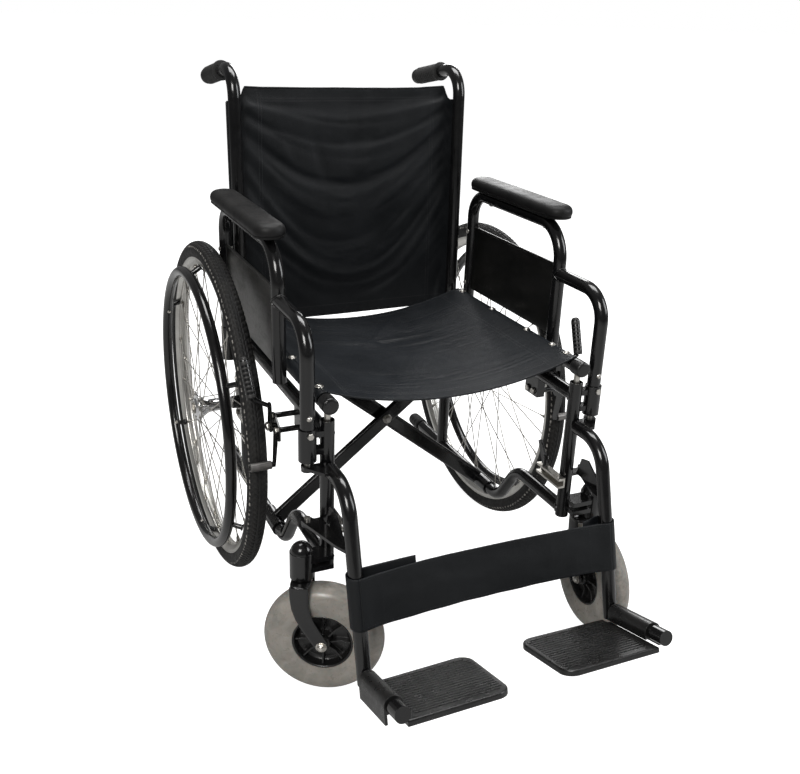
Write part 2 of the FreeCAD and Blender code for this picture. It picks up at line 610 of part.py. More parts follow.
def footplate(side):
    """A plastic footplate with ridges across its top and rounded corners."""
    near, far = PLATE_REACH
    rear, front = PLATE_DEPTH
    low, high = PLATE_DROP
    slab = plate([(near, rear), (far, rear - 6), (far, front - 2), (near, front)], "z", low, high)
    corners = [e for e in slab.Edges if abs(e.Vertexes[0].Z - e.Vertexes[1].Z) > 1
               and e.Vertexes[0].X > far - 1]
    slab = slab.makeFillet(22, corners)
    rim = [e for e in slab.Edges if all(abs(v.Z - high) < 0.01 for v in e.Vertexes)]
    slab = slab.makeFillet(3, rim)
    pitch = (front - rear - 24) / (PLATE_RIDGES - 1)
    ridges = []
    for n in range(PLATE_RIDGES):
        t = rear + 8 + n * pitch
        inset = 14 if n in (0, PLATE_RIDGES - 1) else 8
        ridges.append(box((near + 16, t, high - 1), (far - inset, t + 2, high + 1.1)))
    leg_room = box((0, rear - 1, low - 1), (16, 14, high + 1))
    whole = slab.fuse(ridges).cut(leg_room)
    return mirrored([whole.transformed(foot_frame().toMatrix())], side)


def footplate_hinge(side):
    """The saddle over the hinge rod, whose inner cheek carries the plate."""
    bore = rod(V(0, 0, 0), V(0, 150, 0), 8.5 + RUNNING_GAP)
    start, end = 14.0, 108.0
    barrel = rod(V(0, start, 0), V(0, end, 0), 14.5)
    cheeks = box((-14.5, start, -25), (14.5, end, 0))
    inside = box((-10.5, start - 1, -26), (10.5, end + 1, -10.5))
    saddle = barrel.fuse(cheeks).cut(bore).cut(inside)
    shelf = box((10.5, start + 6, -26.5), (44, end - 8, -22.2))
    saddle = saddle.fuse(shelf)
    plate_room = box((PLATE_REACH[0] - 0.01, start - 4, PLATE_DROP[0]), (80, 150, PLATE_DROP[1] + 3))
    saddle = saddle.cut(plate_room)
    return mirrored([saddle.transformed(foot_frame().toMatrix())], side)


def latch_lever(side):
    """The small black lever that frees the hanger, on an upright pin behind the post."""
    x = FRAME_X - TUBE_R - 7
    outline = [(-400, 282), (-386, 282), (-368, 318), (-374, 322), (-392, 300), (-402, 292)]
    blade = plate(outline, "x", x - 2, x + 2)
    pin = rod(V(x, -394, 280.4), V(x, -394, 300), 4.5)
    return mirrored([blade.fuse(pin)], side)


def calf_strap():
    """The calf strap across the front of both hanger tubes."""
    low, high = STRAP_Z
    slope = math.tan(math.radians(FOOT_SLOPE))
    near = TUBE_R + 0.8
    rear = [(FOOT_Y + (z - FOOT_Z) * slope - near / math.cos(math.radians(FOOT_SLOPE)), z)
            for z in (low, high)]
    outline = [rear[0], rear[1], (rear[1][0] - 4, rear[1][1]), (rear[0][0] - 4, rear[0][1])]
    half = HANGER_X + TUBE_R + 4
    return [plate(outline, "x", -half, half)]


# --- brake ------------------------------------------------------------------------------------
def brake_bracket(side):
    """A clamp on the upper side tube, two rods, and the plate that the brake turns on."""
    tube = rod(V(FRAME_X, -400, UPPER_TUBE_Z), V(FRAME_X, -200, UPPER_TUBE_Z), TUBE_R)
    clamp = box((FRAME_X - 9, -334, 383), (FRAME_X + 6, -294, 425)).cut(tube)
    rods = [rod(V(FRAME_X + 6, y, z), V(258.5, y, z), 4.5) for y, z in ((-302, 407), (-326, 392))]
    outline = [(-336, 376), (-314, 372), (-298, 384), (-296, 412), (-312, 414), (-336, 400)]
    face = rounded(plate(outline, "x", 258.5, 261.5), 4, (1, 0, 0))
    pins = [rod(V(261.5, *BRAKE_PIVOT), V(269.5, *BRAKE_PIVOT), 4),
            rod(V(261.5, *SHOE_PIVOT), V(265.4, *SHOE_PIVOT), 3.5)]
    heads = [dome(V(269.5, *BRAKE_PIVOT), V(1, 0, 0), 6.5, 4)]
    return mirrored([clamp] + rods + [face, pins[0].fuse(heads), pins[1]], side)


def brake_lever(side):
    """The push-to-lock lever: a flat foot on the pivot, a rod that leans out, and a grip."""
    y, z = BRAKE_PIVOT
    foot = plate([(y - 9, z - 9), (y + 9, z - 9), (y + 6, z + 40), (y - 6, z + 40)], "x", 265.8, 268.8)
    foot = rounded(foot, 5, (1, 0, 0)).cut(rod(V(250, y, z), V(290, y, z), 4 + RUNNING_GAP))
    elbow_at = V(298, y - 9, z + 54)
    tip = V(302, y + 15, z + 107)
    stalk = rod(V(267.3, y, z + 34), elbow_at, 3.6)
    grip = rod(elbow_at, tip, 7.8)
    lever = foot.fuse([stalk, grip, Part.makeSphere(7.8, tip)])
    return mirrored([lever], side)


def brake_shoe(side):
    """The shoe: an arm from its pivot and a knurled bar across the tyre's tread."""
    y, z = SHOE_PIVOT
    by, bz = SHOE_BAR
    outline = [(y - 8, z + 6), (y + 6, z + 7), (y + 8, z - 8), (by + 5, bz), (by - 5, bz), (y - 7, z - 12)]
    arm = plate(outline, "x", 262.2, 265.2).cut(rod(V(250, y, z), V(290, y, z), 3.5 + RUNNING_GAP))
    bar = rod(V(262.2, by, bz), V(304, by, bz), 4.5)
    sleeve = rod(V(268.5, by, bz), V(303, by, bz), 6.5)
    return mirrored([arm.fuse([bar, sleeve])], side)


# --- all nodes --------------------------------------------------------------------------------
SIDED = [side_frame, push_grip, tipping_cap, back_screws, rear_axle, rear_tyre, rear_rim,
         rear_spokes, rear_hub, handrim, castor_fork, castor_tyre, castor_hub, castor_axle,
         arm_frame, arm_pad, skirt_guard, arm_socket, hanger, footplate, footplate_hinge,
         latch_lever, brake_bracket, brake_lever, brake_shoe, rail_cap, seat_screws]
SHARED = [cross_bolt, seat_sling, back_sling, calf_strap]


def build():
    """Every node's solids, by name, still measured from the rear axle."""
    nodes = {"cross_brace_a": brace("left"), "cross_brace_b": brace("right")}
    for make in SIDED:
        for side in ("right", "left"):
            nodes[f"{make.__name__}_{side}"] = make(side)
    for make in SHARED:
        nodes[make.__name__] = make()
    return {name: [s for shape in solids for s in shape.Solids] for name, solids in nodes.items()}


def axle_shift(nodes):
    """How far the rear axle stands behind the middle of the chair's box."""
    front = min(s.optimalBoundingBox().YMin for s in nodes["hanger_left"] + nodes["footplate_left"])
    return -(front + WHEEL_R) / 2


NODES = build()
AXLE_Y = axle_shift(NODES)
os.makedirs("parts", exist_ok=True)
for node_name, node_solids in NODES.items():
    node_shape = Part.makeCompound(node_solids)
    node_shape.translate(V(0, AXLE_Y, 0))
    node_shape.exportStep(f"parts/{node_name}.step")
print(len(NODES), "nodes, rear axle at y =", round(AXLE_Y, 3))
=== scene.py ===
import math
import random

import bpy
from mathutils import Matrix, Vector, noise


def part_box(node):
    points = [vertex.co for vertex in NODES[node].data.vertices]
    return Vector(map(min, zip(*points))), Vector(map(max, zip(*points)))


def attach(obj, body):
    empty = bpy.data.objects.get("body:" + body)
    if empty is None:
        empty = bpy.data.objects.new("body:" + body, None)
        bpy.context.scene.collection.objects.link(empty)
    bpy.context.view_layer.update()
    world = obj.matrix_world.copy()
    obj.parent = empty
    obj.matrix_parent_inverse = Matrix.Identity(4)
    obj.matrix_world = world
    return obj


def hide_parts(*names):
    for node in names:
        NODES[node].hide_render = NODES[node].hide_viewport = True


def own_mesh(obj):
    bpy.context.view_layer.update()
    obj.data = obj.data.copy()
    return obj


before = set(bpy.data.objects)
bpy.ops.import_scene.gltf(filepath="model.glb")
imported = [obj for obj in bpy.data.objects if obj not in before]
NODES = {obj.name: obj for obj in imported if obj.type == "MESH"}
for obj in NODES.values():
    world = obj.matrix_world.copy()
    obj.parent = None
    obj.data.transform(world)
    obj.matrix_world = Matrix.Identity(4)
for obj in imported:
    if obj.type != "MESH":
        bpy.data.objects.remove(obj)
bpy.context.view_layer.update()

SIDES = {"right": -1, "left": 1}
MM = 0.001
WHEEL_X = 284.5
FRAME_X = 217.0          # canes, posts, seat rails and hangers
ARM_X = 249.0
RAIL_Z = 475.0
CANE_Y, POST_Y = 26.0, -431.0
CANE_LEAN = 0.0296
CASTOR_X, CASTOR_Y = 263.0, -447.0
CASTOR_TRAIL, CASTOR_R = 35.0, 95.0
BRACE_Y, BRACE_Z = -148.0, 301.0
BRAKE_PIVOT = (-308.0, 393.0)
SHOE_BAR = (-314.5, 328.0)
FOOT_Y, FOOT_Z = -591.0, 108.0
wheel_low, wheel_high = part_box("rear_tyre_left")
AXLE = Vector((WHEEL_X * MM, (wheel_low.y + wheel_high.y) / 2, 0.305))  # left rear wheel's centre


def at(x, y, z):
    """A point in the row frame, from millimetres measured from the rear axle."""
    return Vector((x * MM, AXLE.y + y * MM, z * MM))


# --- node graphs for the materials ------------------------------------------------------------
class Graph:
    """A procedural material, built round one Principled shader."""

    def __init__(self, name, colour, rough, metallic=0.0, **sockets):
        self.mat = bpy.data.materials.new(name)
        self.mat.use_nodes = True
        self.tree = self.mat.node_tree
        self.bsdf = self.tree.nodes["Principled BSDF"]
        self.put("Base Color", (*colour, 1))
        self.put("Roughness", rough)
        self.put("Metallic", metallic)
        for key, value in sockets.items():
            self.put(key.replace("_", " "), value)
        self.coord = self.new("ShaderNodeTexCoord").outputs["Object"]

    def put(self, socket, value):
        if isinstance(value, bpy.types.NodeSocket):
            self.tree.links.new(value, self.bsdf.inputs[socket])
        else:
            self.bsdf.inputs[socket].default_value = value

    def new(self, kind, **settings):
        node = self.tree.nodes.new(kind)
        for key, value in settings.items():
            setattr(node, key, value)
        return node

    def wire(self, socket, value):
        if isinstance(value, bpy.types.NodeSocket):
            self.tree.links.new(value, socket)
        elif isinstance(value, tuple) and len(value) == 3 and socket.type == "RGBA":
            socket.default_value = (*value, 1)
        else:
            socket.default_value = value

    def feed(self, node, **values):
        for key, value in values.items():
            self.wire(node.inputs[key.replace("_", " ")], value)
        return node

    def calc(self, operation, *values, clamp=False):
        node = self.new("ShaderNodeMath", operation=operation, use_clamp=clamp)
        for socket, value in zip(node.inputs, values):
            self.wire(socket, value)
        return node.outputs[0]

    def times(self, *values):
        result = values[0]
        for value in values[1:]:
            result = self.calc("MULTIPLY", result, value)
        return result

    def stretched(self, where, stretch):
        where = where or self.coord
        if stretch is None:
            return where
        return self.feed(self.new("ShaderNodeMapping"), Vector=where, Scale=stretch).outputs[0]

    def noise(self, scale, detail=3.0, rough=0.55, where=None, stretch=None, twist=0.0):
        node = self.new("ShaderNodeTexNoise")
        self.feed(node, Vector=self.stretched(where, stretch), Scale=scale, Detail=detail,
                  Roughness=rough, Distortion=twist)
        return node.outputs["Fac"]

    def cells(self, scale, feature="F1", where=None, stretch=None):
        node = self.new("ShaderNodeTexVoronoi", feature=feature)
        self.feed(node, Vector=self.stretched(where, stretch), Scale=scale)
        return node.outputs["Distance"]

    def span(self, value, low, high, to_low=0.0, to_high=1.0):
        node = self.new("ShaderNodeMapRange")
        self.feed(node, Value=value)
        for index, bound in enumerate((low, high, to_low, to_high)):
            self.wire(node.inputs[index + 1], bound)
        return node.outputs[0]

    def mix(self, amount, first, second):
        node = self.new("ShaderNodeMix", data_type="RGBA")
        self.wire(node.inputs[0], amount)
        self.wire(node.inputs[6], first)
        self.wire(node.inputs[7], second)
        return node.outputs[2]

    def axes(self, where=None):
        return self.feed(self.new("ShaderNodeSeparateXYZ"), Vector=where or self.coord).outputs

    def polar(self, centre):
        """Radius and angle about an X line through centre, and the way along it."""
        shifted = self.new("ShaderNodeVectorMath", operation="SUBTRACT")
        self.wire(shifted.inputs[0], self.coord)
        shifted.inputs[1].default_value = centre
        x, y, z = self.axes(shifted.outputs[0])
        radius = self.calc("SQRT", self.calc("ADD", self.times(y, y), self.times(z, z)))
        return radius, self.calc("ARCTAN2", z, y), x

    def inside(self, low, high):
        """1 inside a box of object coordinates, and 0 outside it."""
        result = None
        for value, a, b in zip(self.axes(), low, high):
            middle, half = (a + b) / 2, abs(b - a) / 2
            hit = self.calc("COMPARE", value, middle, half)
            result = hit if result is None else self.times(result, hit)
        return result

    def normal(self):
        return self.new("ShaderNodeNewGeometry").outputs["Normal"]

    def bump(self, height, strength, distance, over=None):
        node = self.feed(self.new("ShaderNodeBump"), Height=height, Strength=strength,
                         Distance=distance)
        if over is not None:
            self.wire(node.inputs["Normal"], over)
        return node.outputs["Normal"]

    def soft_edges(self, radius):
        """A normal that rounds the sharp edges of a plain solid."""
        return self.feed(self.new("ShaderNodeBevel", samples=4), Radius=radius).outputs["Normal"]

    def worn(self, radius, low=0.03, high=0.14):
        """Near 1 along sharp edges, broken up by noise."""
        dot = self.new("ShaderNodeVectorMath", operation="DOT_PRODUCT")
        self.wire(dot.inputs[0], self.normal())
        self.wire(dot.inputs[1], self.soft_edges(radius))
        edge = self.span(self.calc("SUBTRACT", 1.0, dot.outputs["Value"]), low, high)
        return self.times(edge, self.span(self.noise(140, 3), 0.42, 0.6))

    def dusty(self, colour, amount, scale=30, dust=(0.16, 0.15, 0.14)):
        """Dust on what faces up, in soft patches."""
        patches = self.span(self.noise(scale, 5, 0.6), 0.35, 0.75)
        lying = self.span(self.axes(self.normal())[2], 0.1, 1.0)
        return self.mix(self.times(patches, lying, amount), colour, dust)


def paint(name="frame_paint_gloss", zinc_boxes=()):
    """Black gloss enamel with a little orange peel, dust and worn edges."""
    g = Graph(name, (0.006, 0.006, 0.007), 0.2, Coat_Weight=0.35, Coat_Roughness=0.06,
              Specular_IOR_Level=0.35)
    tint = g.mix(g.span(g.noise(14, 4), 0.3, 0.7), (0.002, 0.002, 0.0025), (0.005, 0.005, 0.005))
    tint = g.mix(g.times(g.worn(0.0012), 0.12), tint, (0.1, 0.095, 0.09))
    tint = g.dusty(tint, 0.03)
    rough = g.span(g.noise(60, 5, 0.65), 0.3, 0.75, 0.13, 0.28)
    if zinc_boxes:
        mask = None
        for low, high in zinc_boxes:
            hit = g.inside(low, high)
            mask = hit if mask is None else g.calc("MAXIMUM", mask, hit)
        blotch = g.mix(g.span(g.noise(90, 4), 0.35, 0.7), (0.62, 0.6, 0.56), (0.42, 0.4, 0.36))
        tint = g.mix(mask, tint, blotch)
        g.put("Metallic", mask)
        rough = g.calc("MAXIMUM", rough, g.times(mask, 0.36))
    g.put("Base Color", tint)
    g.put("Roughness", rough)
    peel = g.bump(g.noise(900, 2), 0.05, 0.0004, g.soft_edges(0.0008))
    g.put("Normal", g.bump(g.noise(45, 2), 0.04, 0.002, peel))
    return g.mat


def metal(name, light, dark, rough, edges=0.0005, streak=None, grime=0.35):
    """A bare or plated metal with cloudy tone, fine scratches and grime."""
    g = Graph(name, light, sum(rough) / 2, 1.0)
    tone = g.mix(g.span(g.noise(70, 5, 0.6), 0.3, 0.75), light, dark)
    dirt = g.span(g.noise(38, 6, 0.7), 0.56, 0.8)
    g.put("Base Color", g.mix(g.times(dirt, grime), tone, (0.07, 0.06, 0.05)))
    scratch = g.noise(220, 3, 0.6, stretch=streak or (1, 1, 9))
    g.put("Roughness", g.span(g.calc("ADD", scratch, g.times(dirt, 0.4)), 0.3, 0.95, *rough))
    g.put("Normal", g.bump(scratch, 0.12, 0.0002, g.soft_edges(edges)))
    return g.mat


def alloy(name, centre):
    """Rolled rim alloy: fine lines round the wheel and faint stains."""
    g = Graph(name, (0.6, 0.59, 0.57), 0.33, 1.0)
    radius, angle, x = g.polar(centre)
    lines = g.noise(1.0, 2, where=g.feed(g.new("ShaderNodeCombineXYZ"), X=g.times(x, 2600),
                                         Y=g.times(radius, 2600), Z=g.times(angle, 2)).outputs[0])
    stain = g.span(g.noise(16, 6, 0.65), 0.48, 0.8)
    tone = g.mix(g.span(lines, 0.3, 0.7), (0.66, 0.65, 0.62), (0.5, 0.49, 0.46))
    g.put("Base Color", g.mix(g.times(stain, 0.5), tone, (0.2, 0.18, 0.155)))
    g.put("Roughness", g.span(g.calc("ADD", lines, g.times(stain, 0.5)), 0.25, 1.2, 0.24, 0.5))
    g.put("Normal", g.bump(lines, 0.1, 0.0002))
    return g.mat


def tyre_rubber(name, centre):
    """Black tyre rubber, greyed in its grooves, with a pale dashed line on the outer shoulder."""
    g = Graph(name, (0.016, 0.016, 0.0165), 0.6, Specular_IOR_Level=0.3)
    radius, angle, x = g.polar(centre)
    tone = g.mix(g.span(g.noise(24, 6, 0.6), 0.35, 0.75), (0.006, 0.006, 0.0065), (0.015, 0.0145, 0.0135))
    groove = g.span(radius, 0.3022, 0.304, 1.0, 0.0)
    tread = g.times(groove, g.span(radius, 0.2985, 0.3005))
    tone = g.mix(g.times(tread, g.span(g.noise(60, 4), 0.3, 0.7), 0.2), tone, (0.06, 0.056, 0.05))
    reach = g.calc("ABSOLUTE", x)
    line = g.times(g.calc("COMPARE", reach, 0.0149, 0.00055), g.span(radius, 0.29, 0.2905))
    dash = g.calc("LESS_THAN", g.calc("FRACT", g.times(angle, 26.0)), 0.55)
    faded = g.span(g.noise(90, 5, 0.7), 0.4, 0.6)
    tone = g.mix(g.times(line, dash, faded, 0.85), tone, (0.42, 0.4, 0.37))
    g.put("Base Color", tone)
    g.put("Roughness", g.span(g.noise(150, 4), 0.3, 0.7, 0.5, 0.72))
    ribs = g.calc("SINE", g.times(radius, 5200))
    side = g.times(ribs, g.span(radius, 0.293, 0.291), 0.5)
    g.put("Normal", g.bump(g.calc("ADD", side, g.noise(1300, 3)), 0.25, 0.0003))
    return g.mat


def castor_vinyl(name, centre):
    """Grey translucent vinyl, scuffed and stained where it rolls."""
    g = Graph(name, (0.34, 0.32, 0.285), 0.36, Subsurface_Weight=0.25, Subsurface_Scale=0.006,
              Specular_IOR_Level=0.5)
    cloud = g.noise(42, 6, 0.62, twist=0.6)
    tone = g.mix(g.span(cloud, 0.3, 0.72), (0.30, 0.28, 0.25), (0.18, 0.17, 0.152))
    low, high = centre
    hub = ((low + high) / 2)
    gap = g.new("ShaderNodeVectorMath", operation="DISTANCE")
    g.wire(gap.inputs[0], g.coord)
    gap.inputs[1].default_value = hub
    rolled = g.span(gap.outputs["Value"], 0.0915, 0.0945)
    scuff = g.span(g.noise(120, 6, 0.7), 0.38, 0.62)
    tone = g.mix(g.times(rolled, scuff, 0.6), tone, (0.11, 0.10, 0.088))
    speck = g.span(g.noise(300, 3, 0.6), 0.66, 0.74)
    g.put("Base Color", g.mix(g.times(speck, 0.5), tone, (0.1, 0.09, 0.08)))
    g.put("Roughness", g.span(g.calc("ADD", scuff, rolled), 0.0, 2.0, 0.26, 0.62))
    g.put("Normal", g.bump(g.calc("ADD", g.noise(260, 4), g.times(cloud, 0.5)), 0.14, 0.0006))
    return g.mat


def moulded(name, base, grey, rough, grain=650, depth=0.0003, edges=0.0009, strength=0.3, dust=0.05,
            **sockets):
    """Moulded plastic or rubber with a spark-eroded grain, handling marks and dust."""
    g = Graph(name, base, sum(rough) / 2, **sockets)
    tone = g.mix(g.span(g.noise(26, 5), 0.35, 0.72), base, grey)
    tone = g.mix(g.times(g.worn(0.0012), 0.14), tone, (0.11, 0.105, 0.1))
    g.put("Base Color", g.dusty(tone, dust, 45))
    g.put("Roughness", g.span(g.noise(75, 5, 0.65), 0.3, 0.72, *rough))
    g.put("Normal", g.bump(g.cells(grain), strength, depth, g.soft_edges(edges)))
    return g.mat


def pad_skin():
    """The armrest's self-skinned foam: fine leather grain, a dull sheen and dust."""
    g = Graph("pad_skin", (0.013, 0.013, 0.0135), 0.5, Specular_IOR_Level=0.22)
    tone = g.mix(g.span(g.noise(30, 5), 0.35, 0.7), (0.004, 0.004, 0.0042), (0.009, 0.009, 0.009))
    g.put("Base Color", g.dusty(tone, 0.06, 22))
    g.put("Roughness", g.span(g.noise(40, 6, 0.7), 0.3, 0.75, 0.42, 0.62))
    grain = g.calc("ADD", g.cells(520, "DISTANCE_TO_EDGE"), g.times(g.noise(900, 3), 0.2))
    g.put("Normal", g.bump(grain, 0.22, 0.0006, g.bump(g.noise(35, 3), 0.1, 0.004)))
    return g.mat


def guard_skin():
    """The skirt guard's thin black sheet: faint brush marks, scuffs and a grey sheen."""
    g = Graph("guard_skin", (0.011, 0.0105, 0.0095), 0.36, Coat_Weight=0.15, Coat_Roughness=0.35)
    scuff = g.span(g.noise(18, 7, 0.72, stretch=(1, 1, 2.6)), 0.5, 0.82)
    tone = g.mix(g.span(g.noise(7, 3), 0.35, 0.7), (0.003, 0.003, 0.0028), (0.007, 0.0068, 0.006))
    g.put("Base Color", g.dusty(g.mix(g.times(scuff, 0.15), tone, (0.05, 0.046, 0.04)), 0.05))
    g.put("Roughness", g.span(g.calc("ADD", scuff, g.noise(160, 3)), 0.3, 1.5, 0.28, 0.55))
    fine = g.noise(420, 3, stretch=(1, 4, 1))
    g.put("Normal", g.bump(fine, 0.1, 0.0003, g.bump(g.noise(9, 2), 0.25, 0.006, g.soft_edges(0.0006))))
    return g.mat


def nylon(name, dark, light, rough):
    """Coated nylon: a plain weave from the sheet's own flat coordinates, with creased tone."""
    g = Graph(name, dark, sum(rough) / 2, Sheen_Weight=0.03, Sheen_Roughness=0.45,
              Sheen_Tint=(0.5, 0.6, 0.75, 1), Specular_IOR_Level=0.26)
    flat = g.new("ShaderNodeTexCoord").outputs["UV"]
    u, v = g.axes(flat)[:2]
    thread = 2 * math.pi / 0.0011
    warp = g.calc("SINE", g.times(u, thread))
    weft = g.calc("SINE", g.times(v, thread))
    weave = g.calc("ADD", g.times(warp, weft), g.times(g.noise(2600, 2, where=flat), 0.6))
    worn = g.span(g.noise(9, 6, 0.6, where=flat), 0.35, 0.72)
    lint = g.span(g.noise(700, 2, 0.5, where=flat, stretch=(1, 3, 1)), 0.7, 0.78)
    tone = g.mix(worn, dark, light)
    # The weave's hollows are painted darker: painted shade between the threads.
    tone = g.mix(g.span(weave, -1.0, 1.6, 0.25, 0.0), tone, (0.001, 0.001, 0.0015))
    g.put("Base Color", g.mix(g.times(lint, 0.12), tone, (0.1, 0.105, 0.11)))
    g.put("Roughness", g.span(g.calc("ADD", worn, g.times(weave, 0.15)), 0.0, 1.1, *rough))
    puckers = g.noise(55, 5, 0.6, where=flat, twist=0.8)
    over = g.bump(puckers, 0.2, 0.003)
    g.put("Normal", g.bump(weave, 0.35, 0.00018, over))
    return g.mat


def thread():
    g = Graph("seam_thread", (0.022, 0.023, 0.026), 0.55, Sheen_Weight=0.3)
    x, y, z = g.axes()
    twist = g.calc("SINE", g.times(g.calc("ADD", g.calc("ADD", x, y), z), 5200))
    # The twist's crests are painted lighter and its grooves darker: painted highlight and painted shade
    # on the plies.
    g.put("Base Color", g.mix(g.span(twist, -1, 1), (0.008, 0.0086, 0.0096), (0.022, 0.0235, 0.026)))
    g.put("Normal", g.bump(twist, 0.4, 0.0003))
    return g.mat


def zinc_boxes(side):
    """Where the side frame is bare plated metal: the hanger's pins and the latch channel."""
    k = SIDES[side]
    spots = [((243.8, -438.2, 284.1), (254.2, -427.8, 293.2)),
             ((243.8, -438.2, 377.1), (254.2, -427.8, 386.2)),
             ((190.0, -447.0, 261.5), (205.7, -375.0, 280.2))]
    found = []
    for low, high in spots:
        a, b = at(k * low[0], low[1], low[2]), at(k * high[0], high[1], high[2])
        found.append((tuple(map(min, a, b)), tuple(map(max, a, b))))
    return found


MAT = {
    "paint": paint(),
    "chrome": metal("hub_chrome", (0.74, 0.74, 0.75), (0.58, 0.58, 0.59), (0.05, 0.22), grime=0.25),
    "zinc": metal("zinc_plate", (0.62, 0.6, 0.56), (0.44, 0.42, 0.39), (0.24, 0.46)),
    "spoke": metal("spoke_steel", (0.52, 0.5, 0.46), (0.36, 0.34, 0.31), (0.22, 0.42), grime=0.3),
    "plastic": moulded("moulded_black", (0.004, 0.004, 0.0042), (0.009, 0.009, 0.0088), (0.22, 0.42)),
    "grip": moulded("grip_rubber", (0.005, 0.005, 0.0052), (0.012, 0.0118, 0.0115), (0.5, 0.72),
                    grain=420),
    "vinyl": moulded("lever_vinyl", (0.012, 0.0118, 0.0115), (0.024, 0.023, 0.022), (0.42, 0.6),
                     grain=500),
    "knurl": metal("knurled_sleeve", (0.3, 0.29, 0.28), (0.18, 0.17, 0.165), (0.35, 0.6), grime=0.6),
    "pad": pad_skin(),
    "guard": guard_skin(),
    "seat": nylon("seat_nylon", (0.0032, 0.0042, 0.0054), (0.0066, 0.0082, 0.0102), (0.42, 0.6)),
    "back": nylon("back_nylon", (0.0022, 0.003, 0.004), (0.0048, 0.006, 0.0076), (0.42, 0.62)),
    "strap": nylon("strap_nylon", (0.0026, 0.0034, 0.0042), (0.0052, 0.0064, 0.0078), (0.45, 0.65)),
    "thread": thread(),
}


def dress(node, material):
    """Gives a CAD node its finished material."""
    slots = NODES[node].material_slots
    for slot in slots:
        slot.material = material


# --- meshes -----------------------------------------------------------------------------------
class Batch:
    """Vertices and faces gathered into one piece."""

    def __init__(self):
        self.points = []
        self.faces = []
        self.uvs = []

    def add(self, points, faces, uvs=None):
        base = len(self.points)
        self.points += points
        self.faces += [tuple(i + base for i in face) for face in faces]
        self.uvs += uvs or [(0.0, 0.0)] * len(points)

    def piece(self, name, material, body=None, slot=None, replaces=(), smooth=40):
        mesh = bpy.data.meshes.new(name)
        mesh.from_pydata([tuple(p) for p in self.points], [], self.faces)
        mesh.materials.append(material)
        layer = mesh.uv_layers.new(name="flat")
        for loop in mesh.loops:
            layer.data[loop.index].uv = self.uvs[loop.vertex_index]
        obj = bpy.data.objects.new(name, mesh)
        bpy.context.scene.collection.objects.link(obj)
        mesh.validate()
        mesh.shade_smooth()
        mesh.set_sharp_from_angle(angle=math.radians(smooth))
        if body:
            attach(obj, body)
        if replaces:
            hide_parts(*replaces)
        return obj


def grid(rows, cols, wrap_rows=False, wrap_cols=False, flip=False):
    """Quads over a grid of points that are listed row by row."""
    faces = []
    for r in range(rows if wrap_rows else rows - 1):
        for c in range(cols if wrap_cols else cols - 1):
            quad = (r * cols + c, r * cols + (c + 1) % cols,
                    (r + 1) % rows * cols + (c + 1) % cols, (r + 1) % rows * cols + c)
            faces.append(quad[::-1] if flip else quad)
    return faces


def frame_of(way):
    """Two directions square to a way."""
    way = way.normalized()
    side = way.cross(Vector((0, 0, 1)))
    if side.length < 0.05:
        side = way.cross(Vector((0, 1, 0)))
    side.normalize()
    return side, way.cross(side).normalized()


def around(side, other, count):
    """Unit directions round a circle, in the plane of two directions that are square."""
    turns = [2 * math.pi * n / count for n in range(count)]
    return [side * math.cos(a) + other * math.sin(a) for a in turns]


def lathe(batch, start, way, profile, segments=48, capped=True):
    """A turned shape: profile gives (distance along, radius) in mm from start."""
    side, other = frame_of(way)
    way = way.normalized()
    ways = around(side, other, segments)
    points = [start + way * along * MM + out * radius * MM for along, radius in profile for out in ways]
    faces = grid(len(profile), segments, wrap_cols=True)
    if capped:
        faces += [tuple(range(segments)),
                  tuple(range((len(profile) - 1) * segments, len(profile) * segments))[::-1]]
    batch.add(points, faces)


def eased(profile, radius=0.8, steps=3):
    """A profile with its corners rounded."""
    points = [Vector(p) for p in profile]
    result = [points[0]]
    for before, corner, after in zip(points, points[1:], points[2:]):
        back, on = before - corner, after - corner
        reach = min(radius, back.length * 0.45, on.length * 0.45)
        a = corner + back.normalized() * reach
        b = corner + on.normalized() * reach
        for n in range(steps + 1):
            t = n / steps
            result.append(a * (1 - t) ** 2 + corner * 2 * t * (1 - t) + b * t ** 2)
    return [(p.x, p.y) for p in result + [points[-1]]]


def ring_lathe(batch, centre, outline, segments=180, closed=True):
    """A ring about an X line: outline gives (x, radius) in mm. A closed outline is a solid ring."""
    points = []
    for n in range(segments):
        angle = 2 * math.pi * n / segments
        out = Vector((0, math.cos(angle), math.sin(angle)))
        points += [centre + Vector((x * MM, 0, 0)) + out * r * MM for x, r in outline]
    batch.add(points, grid(segments, len(outline), wrap_rows=True, wrap_cols=closed))


def sweep(batch, path, radius, segments=24, closed=False, capped=True):
    """A round bar along a path. radius is in mm, or a function of the share of the way along."""
    count = len(path)
    points = []
    side = None
    for n, point in enumerate(path):
        if closed:
            way = path[(n + 1) % count] - path[n - 1]
        else:
            way = path[min(n + 1, count - 1)] - path[max(n - 1, 0)]
        way.normalize()
        side = frame_of(way)[0] if side is None else (side - way * side.dot(way)).normalized()
        other = way.cross(side)
        size = (radius(n / max(count - 1, 1)) if callable(radius) else radius) * MM
        points += [point + out * size for out in around(side, other, segments)]
    faces = grid(count, segments, wrap_rows=closed, wrap_cols=True)
    if capped and not closed:
        faces += [tuple(range(segments)), tuple(range((count - 1) * segments, count * segments))[::-1]]
    batch.add(points, faces)


